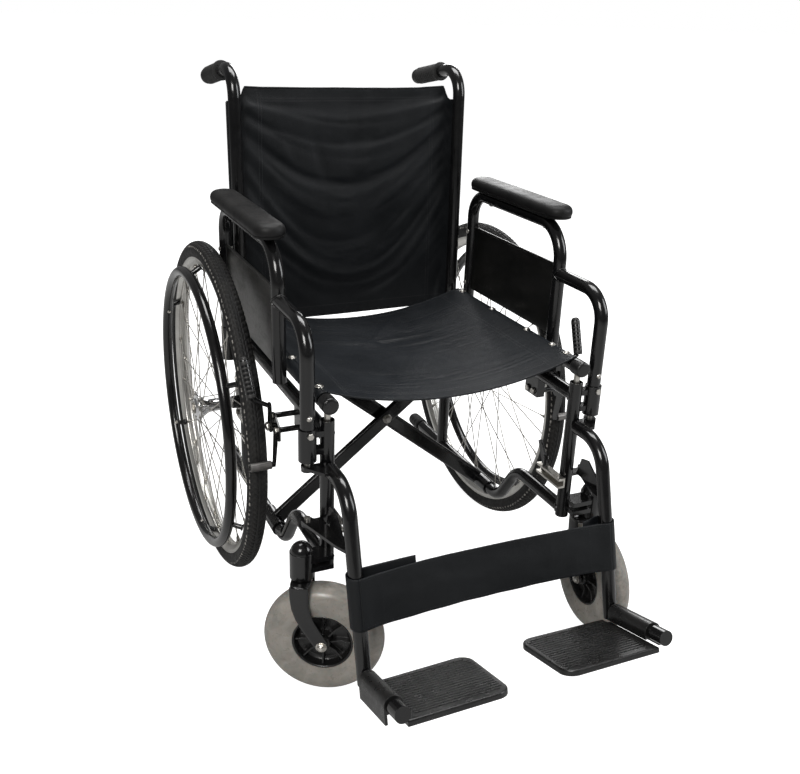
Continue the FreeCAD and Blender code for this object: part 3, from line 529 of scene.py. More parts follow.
def screw(batch, centre, way, radius, height, recess="cross"):
    """A domed screw head, plain or with a cross recess."""
    side, other = frame_of(way)
    way = way.normalized()
    rings, spokes = 9, 32
    points = []
    for r in range(rings + 1):
        share = r / rings
        for s in range(spokes):
            angle = 2 * math.pi * s / spokes
            x, y = radius * share * math.cos(angle), radius * share * math.sin(angle)
            z = height * (1 - share ** 2.4)
            arm = min(abs(x), abs(y)) < radius * 0.13 and max(abs(x), abs(y)) < radius * 0.52
            if recess == "cross" and arm:
                z -= height * 0.5
            points.append(centre + (side * x + other * y + way * z) * MM)
    points += [centre + out * radius * MM - way * 0.6 * MM for out in around(side, other, spokes)]
    batch.add(points, grid(rings + 2, spokes, wrap_cols=True, flip=True))


def hex_head(batch, centre, way, radius, height):
    """A hexagon bolt head or nut with eased corners."""
    side, other = frame_of(way)
    way = way.normalized()
    levels = [(0, 0.97), (0.12, 1.0), (0.8, 1.0), (1.0, 0.9)]
    points = []
    for along, size in levels:
        for n in range(36):
            angle = 2 * math.pi * n / 36
            flat = math.cos(math.pi / 6) / math.cos((angle % (math.pi / 3)) - math.pi / 6)
            reach = radius * min(flat, 1.0 if along < 0.9 else 0.93) * size
            points.append(centre + (side * math.cos(angle) + other * math.sin(angle)) * reach * MM
                          + way * height * along * MM)
    batch.add(points, grid(len(levels), 36, wrap_cols=True)
              + [tuple(range(36)), tuple(range(108, 144))[::-1]])


def weld(batch, centre, main, branch, main_r, branch_r, seed):
    """A rippled bead where a branch tube meets a main tube."""
    draw = random.Random(seed)
    along = main.normalized()
    across = branch.normalized().cross(along).normalized()
    out = branch.normalized()
    count = 72
    path = []
    for n in range(count):
        angle = 2 * math.pi * n / count
        sideways = branch_r * math.sin(angle)
        height = math.sqrt(max(main_r ** 2 - min(abs(sideways), main_r) ** 2, 0.0))
        path.append(centre + (along * branch_r * math.cos(angle) + across * sideways
                              + out * (height + 0.4)) * MM)
    phase = draw.random()
    sizes = [1.7 + 0.35 * abs(math.sin(18 * math.pi * n / count + phase)) + draw.uniform(-0.1, 0.1)
             for n in range(count)]
    sweep(batch, path, lambda share: sizes[round(share * (count - 1))], 10, closed=True)


# --- rear wheels ------------------------------------------------------------------------------
def wheel_centre(side):
    return Vector((SIDES[side] * AXLE.x, AXLE.y, AXLE.z))


def make_tyre(side):
    """A treaded tyre: centre rib, slanted shoulder blocks with grooves, and smooth sidewalls."""
    centre = wheel_centre(side)
    columns, pitch = 1080, 6
    angles = [-131 + 8 * n for n in range(8)] + [-69 + 4.6 * n for n in range(31)]
    angles += [69 + 8 * n for n in range(1, 9)]
    angles = sorted(set(round(a, 2) for a in angles if -131.1 < a < 131.1))
    points = []
    for c in range(columns):
        turn = 2 * math.pi * c / columns
        out = Vector((0, math.cos(turn), math.sin(turn)))
        for a in angles:
            size = abs(a)
            depth = 0.0
            if size < 66:
                slant = int(size // 9) * (1 if a > 0 else -1)
                phase = (c + int(size // 9) + (0 if a > 0 else 3)) % pitch
                if 9 < size < 30 and phase < 2:
                    depth = 1.5
                elif 34 < size < 60 and (c + slant) % pitch < 2:
                    depth = 1.3
                elif 30 <= size <= 34 or 7 < size < 10:
                    depth = 1.2
            elif size < 72:
                depth = 0.5
            r = 17 - depth
            a = math.radians(a)
            points.append(centre + Vector((math.sin(a) * r * MM, 0, 0))
                          + out * (288 + math.cos(a) * r) * MM)
    batch = Batch()
    batch.add(points, grid(columns, len(angles), wrap_rows=True))
    batch.piece(f"tyre_tread_{side}", tyre_rubber(f"tyre_rubber_{side}", centre),
                f"rear_wheel_{side}", "tyre_rubber", [f"rear_tyre_{side}"], smooth=50)


def make_rim(side):
    centre = wheel_centre(side)
    batch = Batch()
    outline = [(-12.9, 277.0), (-12.2, 277.7), (-11.3, 277.3), (-11, 274), (11, 274), (11.3, 277.3),
               (12.2, 277.7), (12.9, 277.0), (13, 271.6), (12, 269.6), (9, 265.4), (8.4, 264.0),
               (7.0, 262.6), (5.6, 262.3), (4.2, 262.9), (3, 262.9), (1.8, 262.2), (-1.8, 262.2),
               (-3, 262.9), (-4.2, 262.9), (-5.6, 262.3), (-7.0, 262.6), (-8.4, 264.0),
               (-9, 265.4), (-12, 269.6), (-13, 271.6)]
    ring_lathe(batch, centre, outline, 360)
    batch.piece(f"rim_{side}", alloy(f"rim_alloy_{side}", centre), f"rear_wheel_{side}",
                "alloy_rim", [f"rear_rim_{side}"], smooth=28)


def make_spokes(side):
    """Thirty-six crossed spokes with their bent ends, and a nipple for each."""
    k = SIDES[side]
    centre = wheel_centre(side)
    wires, nipples = Batch(), Batch()
    step = 2 * math.pi / 18
    for flange, rim_x, first in ((-24.0, -4.0, 0.0), (31.0, 4.0, step / 2)):
        radius = 21.2 if flange < 0 else 25.0
        for n in range(18):
            way = 1 if n % 2 else -1
            angle = first + n * step
            far = angle + way * math.radians(60)
            spot = lambda x, r, a: centre + Vector((k * x, r * math.cos(a), r * math.sin(a))) * MM
            start = spot(flange + 2.6 * way, radius, angle)
            end = spot(rim_x + 1.6 * way, 262.0, far)
            run = (end - start).normalized()
            head = spot(flange - 2.4 * way, radius, angle)
            path = [head, head * 0.45 + start * 0.55, start + run * 0.0012, start + run * 0.004,
                    start + run * 0.04, end - run * 0.008]
            sweep(wires, path, 1.0, 8)
            sweep(wires, [head, head - Vector((k * way, 0, 0)) * 0.9 * MM],
                  lambda share: 1.9 - share * 0.7, 10)
            lathe(nipples, end - run * 0.0125, run,
                  [(0, 1.2), (0.5, 1.75), (8.2, 1.9), (8.8, 2.9), (11, 3.1), (12.8, 2.6)], 10)
    body = f"rear_wheel_{side}"
    wires.piece(f"spoke_wires_{side}", MAT["spoke"], body, "spoke_steel", [f"rear_spokes_{side}"])
    nipples.piece(f"spoke_nipples_{side}", MAT["spoke"], body, "spoke_steel")


def make_hub(side):
    """The bell-shaped chrome hub, its flanges, the axle's end nut and washer."""
    k = SIDES[side]
    centre = wheel_centre(side)
    out = Vector((k, 0, 0))
    shell = Batch()
    profile = [(-31, 6.1), (-31, 10.4), (-28.5, 11.5), (-26.5, 14), (-26, 22.6), (-25, 24),
               (-23, 24), (-22, 22.6), (-21, 15.5), (-18, 13), (-10, 11.8), (2, 12), (12, 13.2),
               (20, 16.5), (25, 21), (28, 25), (29, 27.4), (30, 28), (32, 28), (33, 27),
               (33.6, 18), (35, 16.2), (36.6, 14.8), (37, 12.4), (37, 6.1)]
    lathe(shell, centre, out, eased(profile, 0.9), 72, capped=False)
    shell.piece(f"hub_shell_{side}", MAT["chrome"], f"rear_wheel_{side}", "chrome",
                [f"rear_hub_{side}"])
    bolt = Batch()
    lathe(bolt, centre, out, [(37.2, 11.2), (37.4, 11.6), (38.8, 11.6), (39, 11.2)], 40)
    hex_head(bolt, centre + out * 39 * MM, out, 9.2, 2.8)
    screw(bolt, centre + out * 41.6 * MM, out, 6.6, 1.4, recess="none")
    lathe(bolt, centre, out, [(-67.4, 6), (37.4, 6)], 28)
    hex_head(bolt, centre - out * (WHEEL_X - 220) * MM, out * -1, 10, 3.4)
    bolt.piece(f"axle_bolt_{side}", MAT["zinc"], f"{side}_frame", "chrome", [f"rear_axle_{side}"])


def make_handrim(side):
    k = SIDES[side]
    centre = wheel_centre(side) + Vector((k * 34 * MM, 0, 0))
    batch, bolts = Batch(), Batch()
    circle = [(9.5 * math.cos(2 * math.pi * n / 28), 252 + 9.5 * math.sin(2 * math.pi * n / 28))
              for n in range(28)]
    ring_lathe(batch, centre, circle, 256)
    for n in range(6):
        angle = math.radians(90 + n * 60)
        out = Vector((0, math.cos(angle), math.sin(angle)))
        end = wheel_centre(side) + Vector((k * 11.5 * MM, 0, 0)) + out * 267.4 * MM
        start = centre + out * 253 * MM
        way = (end - start).normalized()
        reach = (end - start).length / MM
        lathe(batch, start, way, eased([(0, 3), (0, 5.2), (9.2, 4.6), (reach - 3, 4.6),
                                        (reach - 2.4, 6), (reach - 0.4, 6.2), (reach, 3)], 0.7), 20)
        screw(bolts, centre + out * 242.7 * MM, out * -1, 3.6, 2.0)
    batch.piece(f"push_ring_{side}", MAT["paint"], f"rear_wheel_{side}", "frame_paint",
                [f"handrim_{side}"])
    bolts.piece(f"push_ring_screws_{side}", MAT["zinc"], f"rear_wheel_{side}", "zinc")


# --- castors ----------------------------------------------------------------------------------
HEADING = {"right": 61.0, "left": -4.0}


def castor_place(side):
    """From a castor's own millimetres, its wheel towards -Y, to the row frame."""
    turn = Matrix.Rotation(math.radians(HEADING[side]), 3, "Z")
    return lambda p: at(SIDES[side] * CASTOR_X, CASTOR_Y, 0) + (turn @ Vector(p)) * MM


def make_castor(side):
    place = castor_place(side)
    hub = place((0, -CASTOR_TRAIL, CASTOR_R))
    out = (place((1, 0, 0)) - place((0, 0, 0))).normalized()
    tyre = Batch()
    outline = []
    for x, r in eased([(-20, 48), (-20.8, 52), (-21.9, 58), (-22.5, 66), (-22.3, 76), (-20.8, 83.6),
                       (-17, 88.7), (-11, 92.7), (-5, 94.7), (0, 95), (5, 94.7), (11, 92.7),
                       (17, 88.7), (20.8, 83.6), (22.3, 76), (22.5, 66), (21.9, 58), (20.8, 52),
                       (20, 48)], 2.5, 3):
        outline.append((x, r))
    outline += [(0, 47.6)]
    side_way, other = frame_of(out)
    points = []
    for turned in around(side_way, other, 144):
        points += [hub + out * x * MM + turned * r * MM for x, r in outline]
    tyre.add(points, grid(144, len(outline), wrap_rows=True, wrap_cols=True))
    vinyl = castor_vinyl(f"castor_vinyl_{side}", (hub, hub))
    tyre.piece(f"castor_tread_{side}", vinyl, f"castor_wheel_{side}", "castor_pvc",
               [f"castor_tyre_{side}"])
    core = Batch()
    profile = [(-24.4, 4.2), (-24.4, 11), (-22, 12.6), (-6, 15), (-4.4, 20), (-4, 38), (-6.5, 42.4),
               (-19, 44.4), (-20.4, 46), (-20, 47.8), (20, 47.8), (20.4, 46), (19, 44.4),
               (6.5, 42.4), (4, 38), (4.4, 20), (6, 15), (22, 12.6), (24.4, 11), (24.4, 4.2)]
    lathe(core, hub, out, eased(profile, 1.2), 96, capped=False)
    for n in range(8):
        spin = Matrix.Rotation(2 * math.pi * n / 8, 3, out)
        for half in (-1, 1):
            rib = [(12.5, half * 3.5), (43, half * 3.5), (43, half * 16), (26, half * 12.5),
                   (13, half * 17)]
            corners = []
            for t in (-1.3, 1.3):
                corners += [hub + spin @ (side_way * r + other * t) * MM + out * x * MM
                            for r, x in rib]
            size = len(rib)
            faces = [(i, (i + 1) % size, size + (i + 1) % size, size + i) for i in range(size)]
            core.add(corners, faces + [tuple(range(size))[::-1], tuple(range(size, 2 * size))])
    core.piece(f"castor_core_{side}", MAT["plastic"], f"castor_wheel_{side}", "black_plastic",
               [f"castor_hub_{side}"])
    bolt = Batch()
    lathe(bolt, hub, out, [(-31, 4), (31, 4)], 20)
    for way in (-1, 1):
        washer = [(0, 8.2), (0.2, 8.6), (1.2, 8.6), (1.4, 8.2)]
        lathe(bolt, hub + out * way * 31 * MM, out * way, washer, 32)
        hex_head(bolt, hub + out * way * 32.4 * MM, out * way, 7.2, 3.2)
        screw(bolt, hub + out * way * 35.4 * MM, out * way, 5.6, 3.0, recess="none")
    bolt.piece(f"castor_bolt_{side}", MAT["zinc"], f"castor_{side}", "zinc",
               [f"castor_axle_{side}"])
    make_fork(side, place)


def make_fork(side, place):
    """A pressed fork: dished blades that taper and curve back to the bolt, under a crown."""
    batch = Batch()
    spine = [(-0.4, 198), (-0.6, 180), (-2, 162), (-7, 145), (-14, 130), (-22, 117), (-29, 105),
             (-34, 97)]
    widths = [14.8, 14.4, 13.6, 12.8, 12.2, 11.8, 11.4, 11.0]
    for half in (-1, 1):
        rows = []
        for n, ((y, z), w) in enumerate(zip(spine, widths)):
            before, after = spine[max(n - 1, 0)], spine[min(n + 1, len(spine) - 1)]
            along = Vector((0, after[0] - before[0], after[1] - before[1])).normalized()
            across = Vector((0, -along.z, along.y))
            rows.append((Vector((0, y, z)), along, across, w))
        last, along, across, w = rows[-1]
        for n in range(1, 7):
            angle = math.radians(15 * n)
            rows.append((last + along * w * math.sin(angle), along, across,
                         max(w * math.cos(angle), 0.6)))
        fine = []
        for a, b in zip(rows, rows[1:]):
            for s in range(3):
                t = s / 3
                fine.append(tuple(p * (1 - t) + q * t if isinstance(p, float) else p.lerp(q, t)
                                  for p, q in zip((a[0], a[1], a[2], float(a[3])),
                                                  (b[0], b[1], b[2], float(b[3])))))
        points = []
        cells = 12
        for middle, _, over, width in fine:
            for face in (0, 1):
                for c in range(cells + 1):
                    s = 2 * c / cells - 1
                    if face:
                        s = -s
                    dish = 1.2 * (1 - s * s)
                    edge = 1.6 * (1.0 - max(0.0, abs(s) - 0.8) * 3.0)
                    x = 29.0 + dish + (-edge if face else edge)
                    p = middle + over * s * width
                    points.append(place((half * x, p.y, p.z)))
        count = 2 * (cells + 1)
        faces = grid(len(fine), count, wrap_cols=True, flip=half > 0)
        ends = [tuple(range(count)), tuple(range((len(fine) - 1) * count, len(fine) * count))[::-1]]
        batch.add(points, faces + (ends if half < 0 else [e[::-1] for e in ends]))
    crown = []
    count = 48
    for z, grow in ((192.3, -2.6), (193.4, -0.6), (194.8, 0), (197, 0), (198.4, -0.8), (199.3, -3.2)):
        for n in range(count):
            angle = 2 * math.pi * n / count
            c, s = math.cos(angle), math.sin(angle)
            x = math.copysign(abs(c) ** 0.42, c) * (32 + grow)
            y = -0.5 + math.copysign(abs(s) ** 0.5, s) * (15.6 + grow)
            crown.append(place((x, y, z)))
    batch.add(crown, grid(6, count, wrap_cols=True)
              + [tuple(range(count))[::-1], tuple(range(5 * count, 6 * count))])
    top = place((0, 0, 199.0))
    lathe(batch, top, Vector((0, 0, 1)), eased([(0, 15.6), (1.0, 15.4), (1.6, 15.0)], 0.3), 48)
    lathe(batch, top, Vector((0, 0, 1)), [(0, 8), (36, 8)], 24)
    batch.piece(f"fork_{side}", MAT["paint"], f"castor_{side}", "frame_paint",
                [f"castor_fork_{side}"], smooth=50)


for side in SIDES:
    make_tyre(side)
    make_rim(side)
    make_spokes(side)
    make_hub(side)
    make_handrim(side)
    make_castor(side)


# --- upholstery -------------------------------------------------------------------------------
def smooth(t):
    t = min(max(t, 0.0), 1.0)
    return t * t * (3 - 2 * t)


def crease(u, v, a, b, width, depth):
    """The depth of a fold that runs from a to b on the flat cloth, fading at both ends."""
    px, py = u - a[0], v - a[1]
    dx, dy = b[0] - a[0], b[1] - a[1]
    length = dx * dx + dy * dy
    t = max(0.0, min(1.0, (px * dx + py * dy) / length))
    gap = math.hypot(px - t * dx, py - t * dy)
    fade = smooth(t * 4) * smooth((1 - t) * 4)
    return depth * fade * math.exp(-(gap / width) ** 2)


def cloth_object(name, material, rows, cols, point, flat):
    """A sheet from point(s, t), with s across and t along from 0 to 1, and flat UVs in metres."""
    points, uvs = [], []
    for r in range(rows):
        for c in range(cols):
            s, t = c / (cols - 1), r / (rows - 1)
            points.append(point(s, t))
            uvs.append((s * flat[0], t * flat[1]))
    batch = Batch()
    batch.add(points, grid(rows, cols), uvs)
    return batch.piece(name, material, smooth=180)


def thicken(obj, thickness):
    solid = obj.modifiers.new("thickness", "SOLIDIFY")
    solid.thickness = thickness * MM
    solid.offset = 0.0
    solid.use_even_offset = True


def settle(obj, pinned, frames, slack, gravity, cap):
    """Lets the middle of a sheet settle as cloth, its pinned edge held."""
    group = obj.vertex_groups.new(name="held")
    for vertex in obj.data.vertices:
        group.add([vertex.index], pinned(vertex), "REPLACE")
    cloth = obj.modifiers.new("settle", "CLOTH")
    settings = cloth.settings
    settings.quality = 7
    settings.mass = 0.3
    settings.tension_stiffness = 30
    settings.compression_stiffness = 30
    settings.shear_stiffness = 12
    settings.bending_stiffness = 0.35
    settings.air_damping = 2.0
    settings.vertex_group_mass = "held"
    settings.shrink_min = -slack
    settings.shrink_max = -slack
    settings.effector_weights.gravity = gravity
    scene = bpy.context.scene
    scene.frame_start, scene.frame_end = 1, frames
    cloth.point_cache.frame_start, cloth.point_cache.frame_end = 1, frames
    start = [v.co.copy() for v in obj.data.vertices]
    for frame_number in range(1, frames + 1):
        scene.frame_set(frame_number)
    seen = obj.evaluated_get(bpy.context.evaluated_depsgraph_get())
    moved = [v.co.copy() for v in seen.data.vertices]
    obj.modifiers.remove(cloth)
    for vertex, before, after in zip(obj.data.vertices, start, moved):
        step = after - before
        if step.length > cap * MM:
            step *= cap * MM / step.length
        vertex.co = before + step
    scene.frame_set(1)
    obj.data.update()


def surface_of(obj, rows, cols):
    """Looks up the settled cloth's points and normals by share across and along."""
    points = [v.co.copy() for v in obj.data.vertices]
    obj.data.update()
    normals = [n.vector.copy() for n in obj.data.vertex_normals]

    def look(s, t):
        x, y = s * (cols - 1), t * (rows - 1)
        c, r = min(int(x), cols - 2), min(int(y), rows - 2)
        fx, fy = x - c, y - r
        i = r * cols + c
        weights = (((1 - fx) * (1 - fy), i), (fx * (1 - fy), i + 1),
                   ((1 - fx) * fy, i + cols), (fx * fy, i + cols + 1))
        place = sum((points[n] * w for w, n in weights), Vector())
        normal = sum((normals[n] * w for w, n in weights), Vector()).normalized()
        return place, normal

    return look


def stitch_line(batch, look, start, end, length, pitch=4.2, lift=0.75, face=1):
    """Stitches along a line on the cloth from start to end, each a small rounded bar."""
    count = max(2, int(length / pitch))
    for n in range(count):
        a = (n + 0.14) / count
        b = (n + 0.80) / count
        spots = []
        for share in (a, (a + b) / 2, b):
            s = start[0] + (end[0] - start[0]) * share
            t = start[1] + (end[1] - start[1]) * share
            place, normal = look(s, t)
            rise = lift if share == (a + b) / 2 else lift - 0.35
            spots.append(place + normal * rise * face * MM)
        sweep(batch, spots, lambda share: 0.42 if 0.2 < share < 0.8 else 0.26, 6)


SEAT_Y = (-419.0, -5.0)
SEAT_WRAP = 12.6
SEAT_COLS, SEAT_ROWS = 121, 121
SEAT_FLAT = (0.420, 0.414)
seat_creases = [((0.30, 0.42), (0.13, 0.20), 0.012, 3.0), ((0.36, 0.40), (0.22, 0.16), 0.010, -2.2),
                ((0.06, 0.36), (0.20, 0.24), 0.012, 2.4), ((0.10, 0.12), (0.25, 0.07), 0.013, -2.4),
                ((0.33, 0.10), (0.20, 0.05), 0.012, 2.6), ((0.385, 0.06), (0.26, 0.12), 0.010, 2.0),
                ((0.04, 0.06), (0.14, 0.13), 0.009, 2.0), ((0.05, 0.30), (0.15, 0.38), 0.010, -2.0),
                ((0.24, 0.30), (0.36, 0.33), 0.014, 2.4), ((0.15, 0.30), (0.28, 0.22), 0.014, -2.0)]


def seat_point(s, t):
    """The seat's middle: from the top of one rail, down through the sag, to the other."""
    x = (2 * s - 1) * (FRAME_X + 1.0)
    top = RAIL_Z + SEAT_WRAP
    inner = FRAME_X - 3.0
    if abs(x) > inner:
        gap = abs(x) - FRAME_X
        z = RAIL_Z + math.sqrt(SEAT_WRAP ** 2 - gap ** 2)
    else:
        z = top - 23.0 * (1 - (abs(x) / inner) ** 2.2) - 0.35
    u, v = s * SEAT_FLAT[0], t * SEAT_FLAT[1]
    free = smooth((1 - abs(2 * s - 1)) * 7)
    y = SEAT_Y[0] + (SEAT_Y[1] - SEAT_Y[0]) * t
    front = smooth(1 - t * 6)
    y += front * (7.0 * (1 - (2 * s - 1) ** 2) - 1.5)
    z -= front * 3.0 * (1 - (2 * s - 1) ** 2)
    bumps = sum(crease(u, v, *fold) for fold in seat_creases)
    bumps += 1.5 * noise.noise(Vector((u * 16, v * 11, 3.1)))
    bumps += 0.55 * noise.noise(Vector((u * 48, v * 40, 8.7)))
    bumps += 1.1 * math.sin(v * 38 + 4 * noise.noise(Vector((v * 9, 0, 2)))) * math.exp(
        -((1 - abs(2 * s - 1)) / 0.22) ** 2)
    z += bumps * free
    return at(x, y, z)


def hem_ring(x, wrap, side_sign, low, high, y_span, bulge=0.0):
    """A point maker for cloth that wraps a rail or tube that runs along Y."""
    def point(s, t):
        angle = math.radians(low + (high - low) * s)
        y = y_span[0] + (y_span[1] - y_span[0]) * t
        r = wrap + bulge * noise.noise(Vector((angle * 2, y * 0.03, x)))
        return at(side_sign * (x + r * math.cos(angle)), y, RAIL_Z + r * math.sin(angle))
    return point


def make_seat():
    seat = cloth_object("seat_cloth", MAT["seat"], SEAT_ROWS, SEAT_COLS, seat_point, SEAT_FLAT)
    held = lambda v: 1.0 if abs(v.co.x) > 0.2045 else 0.0
    settle(seat, held, 26, 0.006, 0.5, 16)
    look = surface_of(seat, SEAT_ROWS, SEAT_COLS)
    seams, hem = Batch(), Batch()
    for s in (0.084, 0.097, 0.903, 0.916):
        stitch_line(seams, look, (s, 0.02), (s, 0.985), 425)
    for t in (0.052, 0.067):
        stitch_line(seams, look, (0.08, t), (0.92, t), 360)
    stitch_line(seams, look, (0.07, 0.965), (0.93, 0.965), 370)
    thicken(seat, 1.6)
    front = [look(0.012 + 0.976 * n / 150, 0.0)[0] for n in range(151)]
    sweep(hem, front, 1.7, 10)
    back = [look(0.012 + 0.976 * n / 150, 1.0)[0] for n in range(151)]
    sweep(hem, back, 1.5, 10)
    edge = hem.piece("seat_hem", MAT["seat"], "seat_cloth", "nylon")
    sewn = seams.piece("seat_stitches", MAT["thread"], "seat_cloth", "nylon")
    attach(seat, "seat_cloth")
    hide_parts("seat_sling")
    for piece in (seat, edge, sewn):
        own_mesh(piece)
    for side, body in (("left", "cross_brace_right_foot"), ("right", "cross_brace_left_foot")):
        k = SIDES[side]
        wrap = cloth_object(f"seat_edge_{side}", MAT["seat"], 121, 25,
                            hem_ring(FRAME_X, 12.0, k, -32, 100, (SEAT_Y[0] - 0.5, SEAT_Y[1])),
                            (0.028, 0.414))
        thicken(wrap, 1.5)
        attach(wrap, body)


BACK_Z = (446.0, 874.0)
BACK_COLS, BACK_ROWS = 121, 111
BACK_FLAT = (0.460, 0.428)
back_creases = [((0.10, 0.34), (0.13, 0.20), 0.010, 2.6), ((0.16, 0.36), (0.19, 0.24), 0.011, -2.2),
                ((0.30, 0.36), (0.24, 0.26), 0.012, 2.8), ((0.34, 0.30), (0.27, 0.20), 0.010, -2.2),
                ((0.08, 0.16), (0.16, 0.10), 0.012, 2.4), ((0.28, 0.14), (0.36, 0.07), 0.012, 2.6),
                ((0.20, 0.20), (0.22, 0.04), 0.012, 2.2), ((0.11, 0.28), (0.075, 0.12), 0.008, 2.0),
                ((0.345, 0.22), (0.365, 0.08), 0.008, 2.2), ((0.22, 0.33), (0.30, 0.345), 0.012, -1.8)]


def back_face(z):
    """How far back the cloth lies where it is screwed behind a cane."""
    return 37.6 + (z - BACK_Z[0]) * CANE_LEAN


def back_point(s, t):
    """The back: one sheet behind the canes, sagging a little to the rear between them."""
    x = (2 * s - 1) * 229.0
    share = abs(2 * s - 1)
    edge = BACK_Z[1] - 28.0 * smooth((abs(x) - 194) / 12) - 3.0 * (1 - share ** 2.5)
    z = BACK_Z[0] + (edge - BACK_Z[0]) * t
    y = back_face(z) + 1.0 + 9.5 * (1 - share ** 2.4) * (0.8 + 0.2 * math.sin(math.pi * t))
    u, v = s * BACK_FLAT[0], t * BACK_FLAT[1]
    free = smooth((0.9 - share) * 9)
    bumps = sum(crease(u, v, *fold) for fold in back_creases)
    bumps += 1.3 * noise.noise(Vector((u * 13, v * 9, 5.3)))
    bumps += 1.5 * noise.noise(Vector((u * 30, v * 6, 1.7)))
    bumps += 0.9 * math.sin(v * 44 + 5 * noise.noise(Vector((v * 8, 3, 2)))) * math.exp(
        -((0.9 - share) / 0.12) ** 2)
    return at(x, y - bumps * free, z)


def make_back():
    back = cloth_object("back_cloth", MAT["back"], BACK_ROWS, BACK_COLS, back_point, BACK_FLAT)
    held = lambda v: 1.0 if abs(v.co.x) > 0.205 else 0.0
    settle(back, held, 22, 0.0012, 0.12, 5)
    look = surface_of(back, BACK_ROWS, BACK_COLS)
    seams, hem = Batch(), Batch()
    for s in (0.124, 0.136, 0.864, 0.876):
        stitch_line(seams, look, (s, 0.015), (s, 0.985), 420)
    for t in (0.95, 0.961):
        stitch_line(seams, look, (0.14, t), (0.86, t), 330)
    stitch_line(seams, look, (0.02, 0.045), (0.98, 0.045), 430)
    thicken(back, 1.6)
    for t in (0.0, 1.0):
        sweep(hem, [look(0.004 + 0.992 * n / 150, t)[0] for n in range(151)], 1.7, 10)
    edge = hem.piece("back_hem", MAT["back"], "back_cloth", "nylon")
    sewn = seams.piece("back_stitches", MAT["thread"], "back_cloth", "nylon")
    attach(back, "back_cloth")
    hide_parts("back_sling")
    for piece in (back, edge, sewn):
        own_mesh(piece)


# --- calf strap -------------------------------------------------------------------------------
STRAP_Z = (180.0, 255.0)
STRAP_SLOPE = math.tan(math.radians(16.0))


def strap_front(s, t):
    x = (2 * s - 1) * FRAME_X
    z = STRAP_Z[0] + (STRAP_Z[1] - STRAP_Z[0]) * t
    bow = 11.0 * (1 - (2 * s - 1) ** 2)
    y = FOOT_Y + (z - FOOT_Z) * STRAP_SLOPE - 13.6 + bow
    free = smooth((1 - abs(2 * s - 1)) * 8)
    wave = 1.6 * noise.noise(Vector((s * 3.2, t * 1.4, 2.2)))
    wave += 0.5 * noise.noise(Vector((s * 14, t * 4, 6)))
    curl = 2.5 * math.exp(-((t - 0.5) / 0.16) ** 2) * 0.25
    y += free * (2.5 - wave * 1.6 - curl)
    return at(x, y, z)


def strap_wrap(side, reach):
    """Round the outer side of a tube, then behind it, towards the middle."""
    k = SIDES[side]

    def point(s, t):
        z = STRAP_Z[0] + (STRAP_Z[1] - STRAP_Z[0]) * t
        r = 13.4
        total = math.pi * r + reach
        along = s * total
        if along < math.pi * r:
            angle = -math.pi / 2 + along / r
            x = FRAME_X + r * math.cos(angle)
            y = r * math.sin(angle)
            lift = 0.0
        else:
            gone = along - math.pi * r
            x = FRAME_X - gone
            y = r - 9.0 * smooth(gone / max(reach, 1))
            lift = 7.0 * smooth(gone / max(reach, 1)) if side == "right" else 1.0
        z += lift
        y += FOOT_Y + (z - FOOT_Z) * STRAP_SLOPE
        return at(k * x, y, z)

    return point


def make_strap():
    front = cloth_object("strap_front", MAT["strap"], 33, 161, strap_front, (0.434, 0.075))
    look = surface_of(front, 33, 161)
    seams = Batch()
    for t in (0.055, 0.945):
        stitch_line(seams, look, (0.015, t), (0.985, t), 425)
    for s in (0.085, 0.915):
        stitch_line(seams, look, (s, 0.07), (s, 0.93), 64)
    thicken(front, 2.0)
    body = "hanger_arm_left"
    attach(front, body)
    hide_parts("calf_strap")
    sewn = seams.piece("strap_stitches", MAT["thread"], body, "nylon")
    for piece in (front, sewn):
        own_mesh(piece)
    for side, reach in (("right", 98.0), ("left", 40.0)):
        wrap = cloth_object(f"strap_wrap_{side}", MAT["strap"], 33, 61, strap_wrap(side, reach),
                            ((math.pi * 13.4 + reach) * MM, 0.075))
        thicken(wrap, 1.8)
        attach(wrap, f"hanger_arm_{side}")


make_seat()
make_back()
make_strap()


# --- armrests ---------------------------------------------------------------------------------
def make_arm_pad(side):
    """A round-ended, soft-edged pad over its base lip, with a parting line round it."""
    k = SIDES[side]
    batch = Batch()
    count = 120
    half_x, y0, y1 = 25.0, -300.0, 6.0
    levels = [(686.0, -5.0), (686.3, -2.4), (687.2, -1.2), (689.6, -1.0), (690.2, -2.0), (690.9, -0.9),
              (693.4, 0.0), (697, 0.2), (700.4, -0.4), (703.2, -1.8), (705.6, -4.2), (707.4, -7.4),
              (708.4, -11.0), (708.9, -14.6), (709.0, -18.0)]
    rows = []
    for z, grow in levels:
        row = []
        for n in range(count):
            angle = 2 * math.pi * n / count
            c, s = math.cos(angle), math.sin(angle)
            x = c * (half_x + grow)
            y = (y0 + y1) / 2 + math.copysign((y1 - y0) / 2 - half_x, s) + s * (half_x + grow)
            row.append(at(k * (253.5 + x), y, z))
        rows += row
    ends = [tuple(range(count)), tuple(range(len(rows) - count, len(rows)))[::-1]]
    if k < 0:
        ends = [end[::-1] for end in ends]
    batch.add(rows, grid(len(levels), count, wrap_cols=True, flip=k > 0) + ends)
    pad = batch.piece(f"arm_cushion_{side}", MAT["pad"], f"armrest_{side}", "pad_vinyl",
                      [f"arm_pad_{side}"], smooth=55)
    screws = Batch()
    for y in (-250, -60):
        screw(screws, at(k * ARM_X, y, 663.9), Vector((0, 0, -1)), 5, 2.4)
    screws.piece(f"arm_screws_{side}", MAT["zinc"], f"armrest_{side}", "zinc")


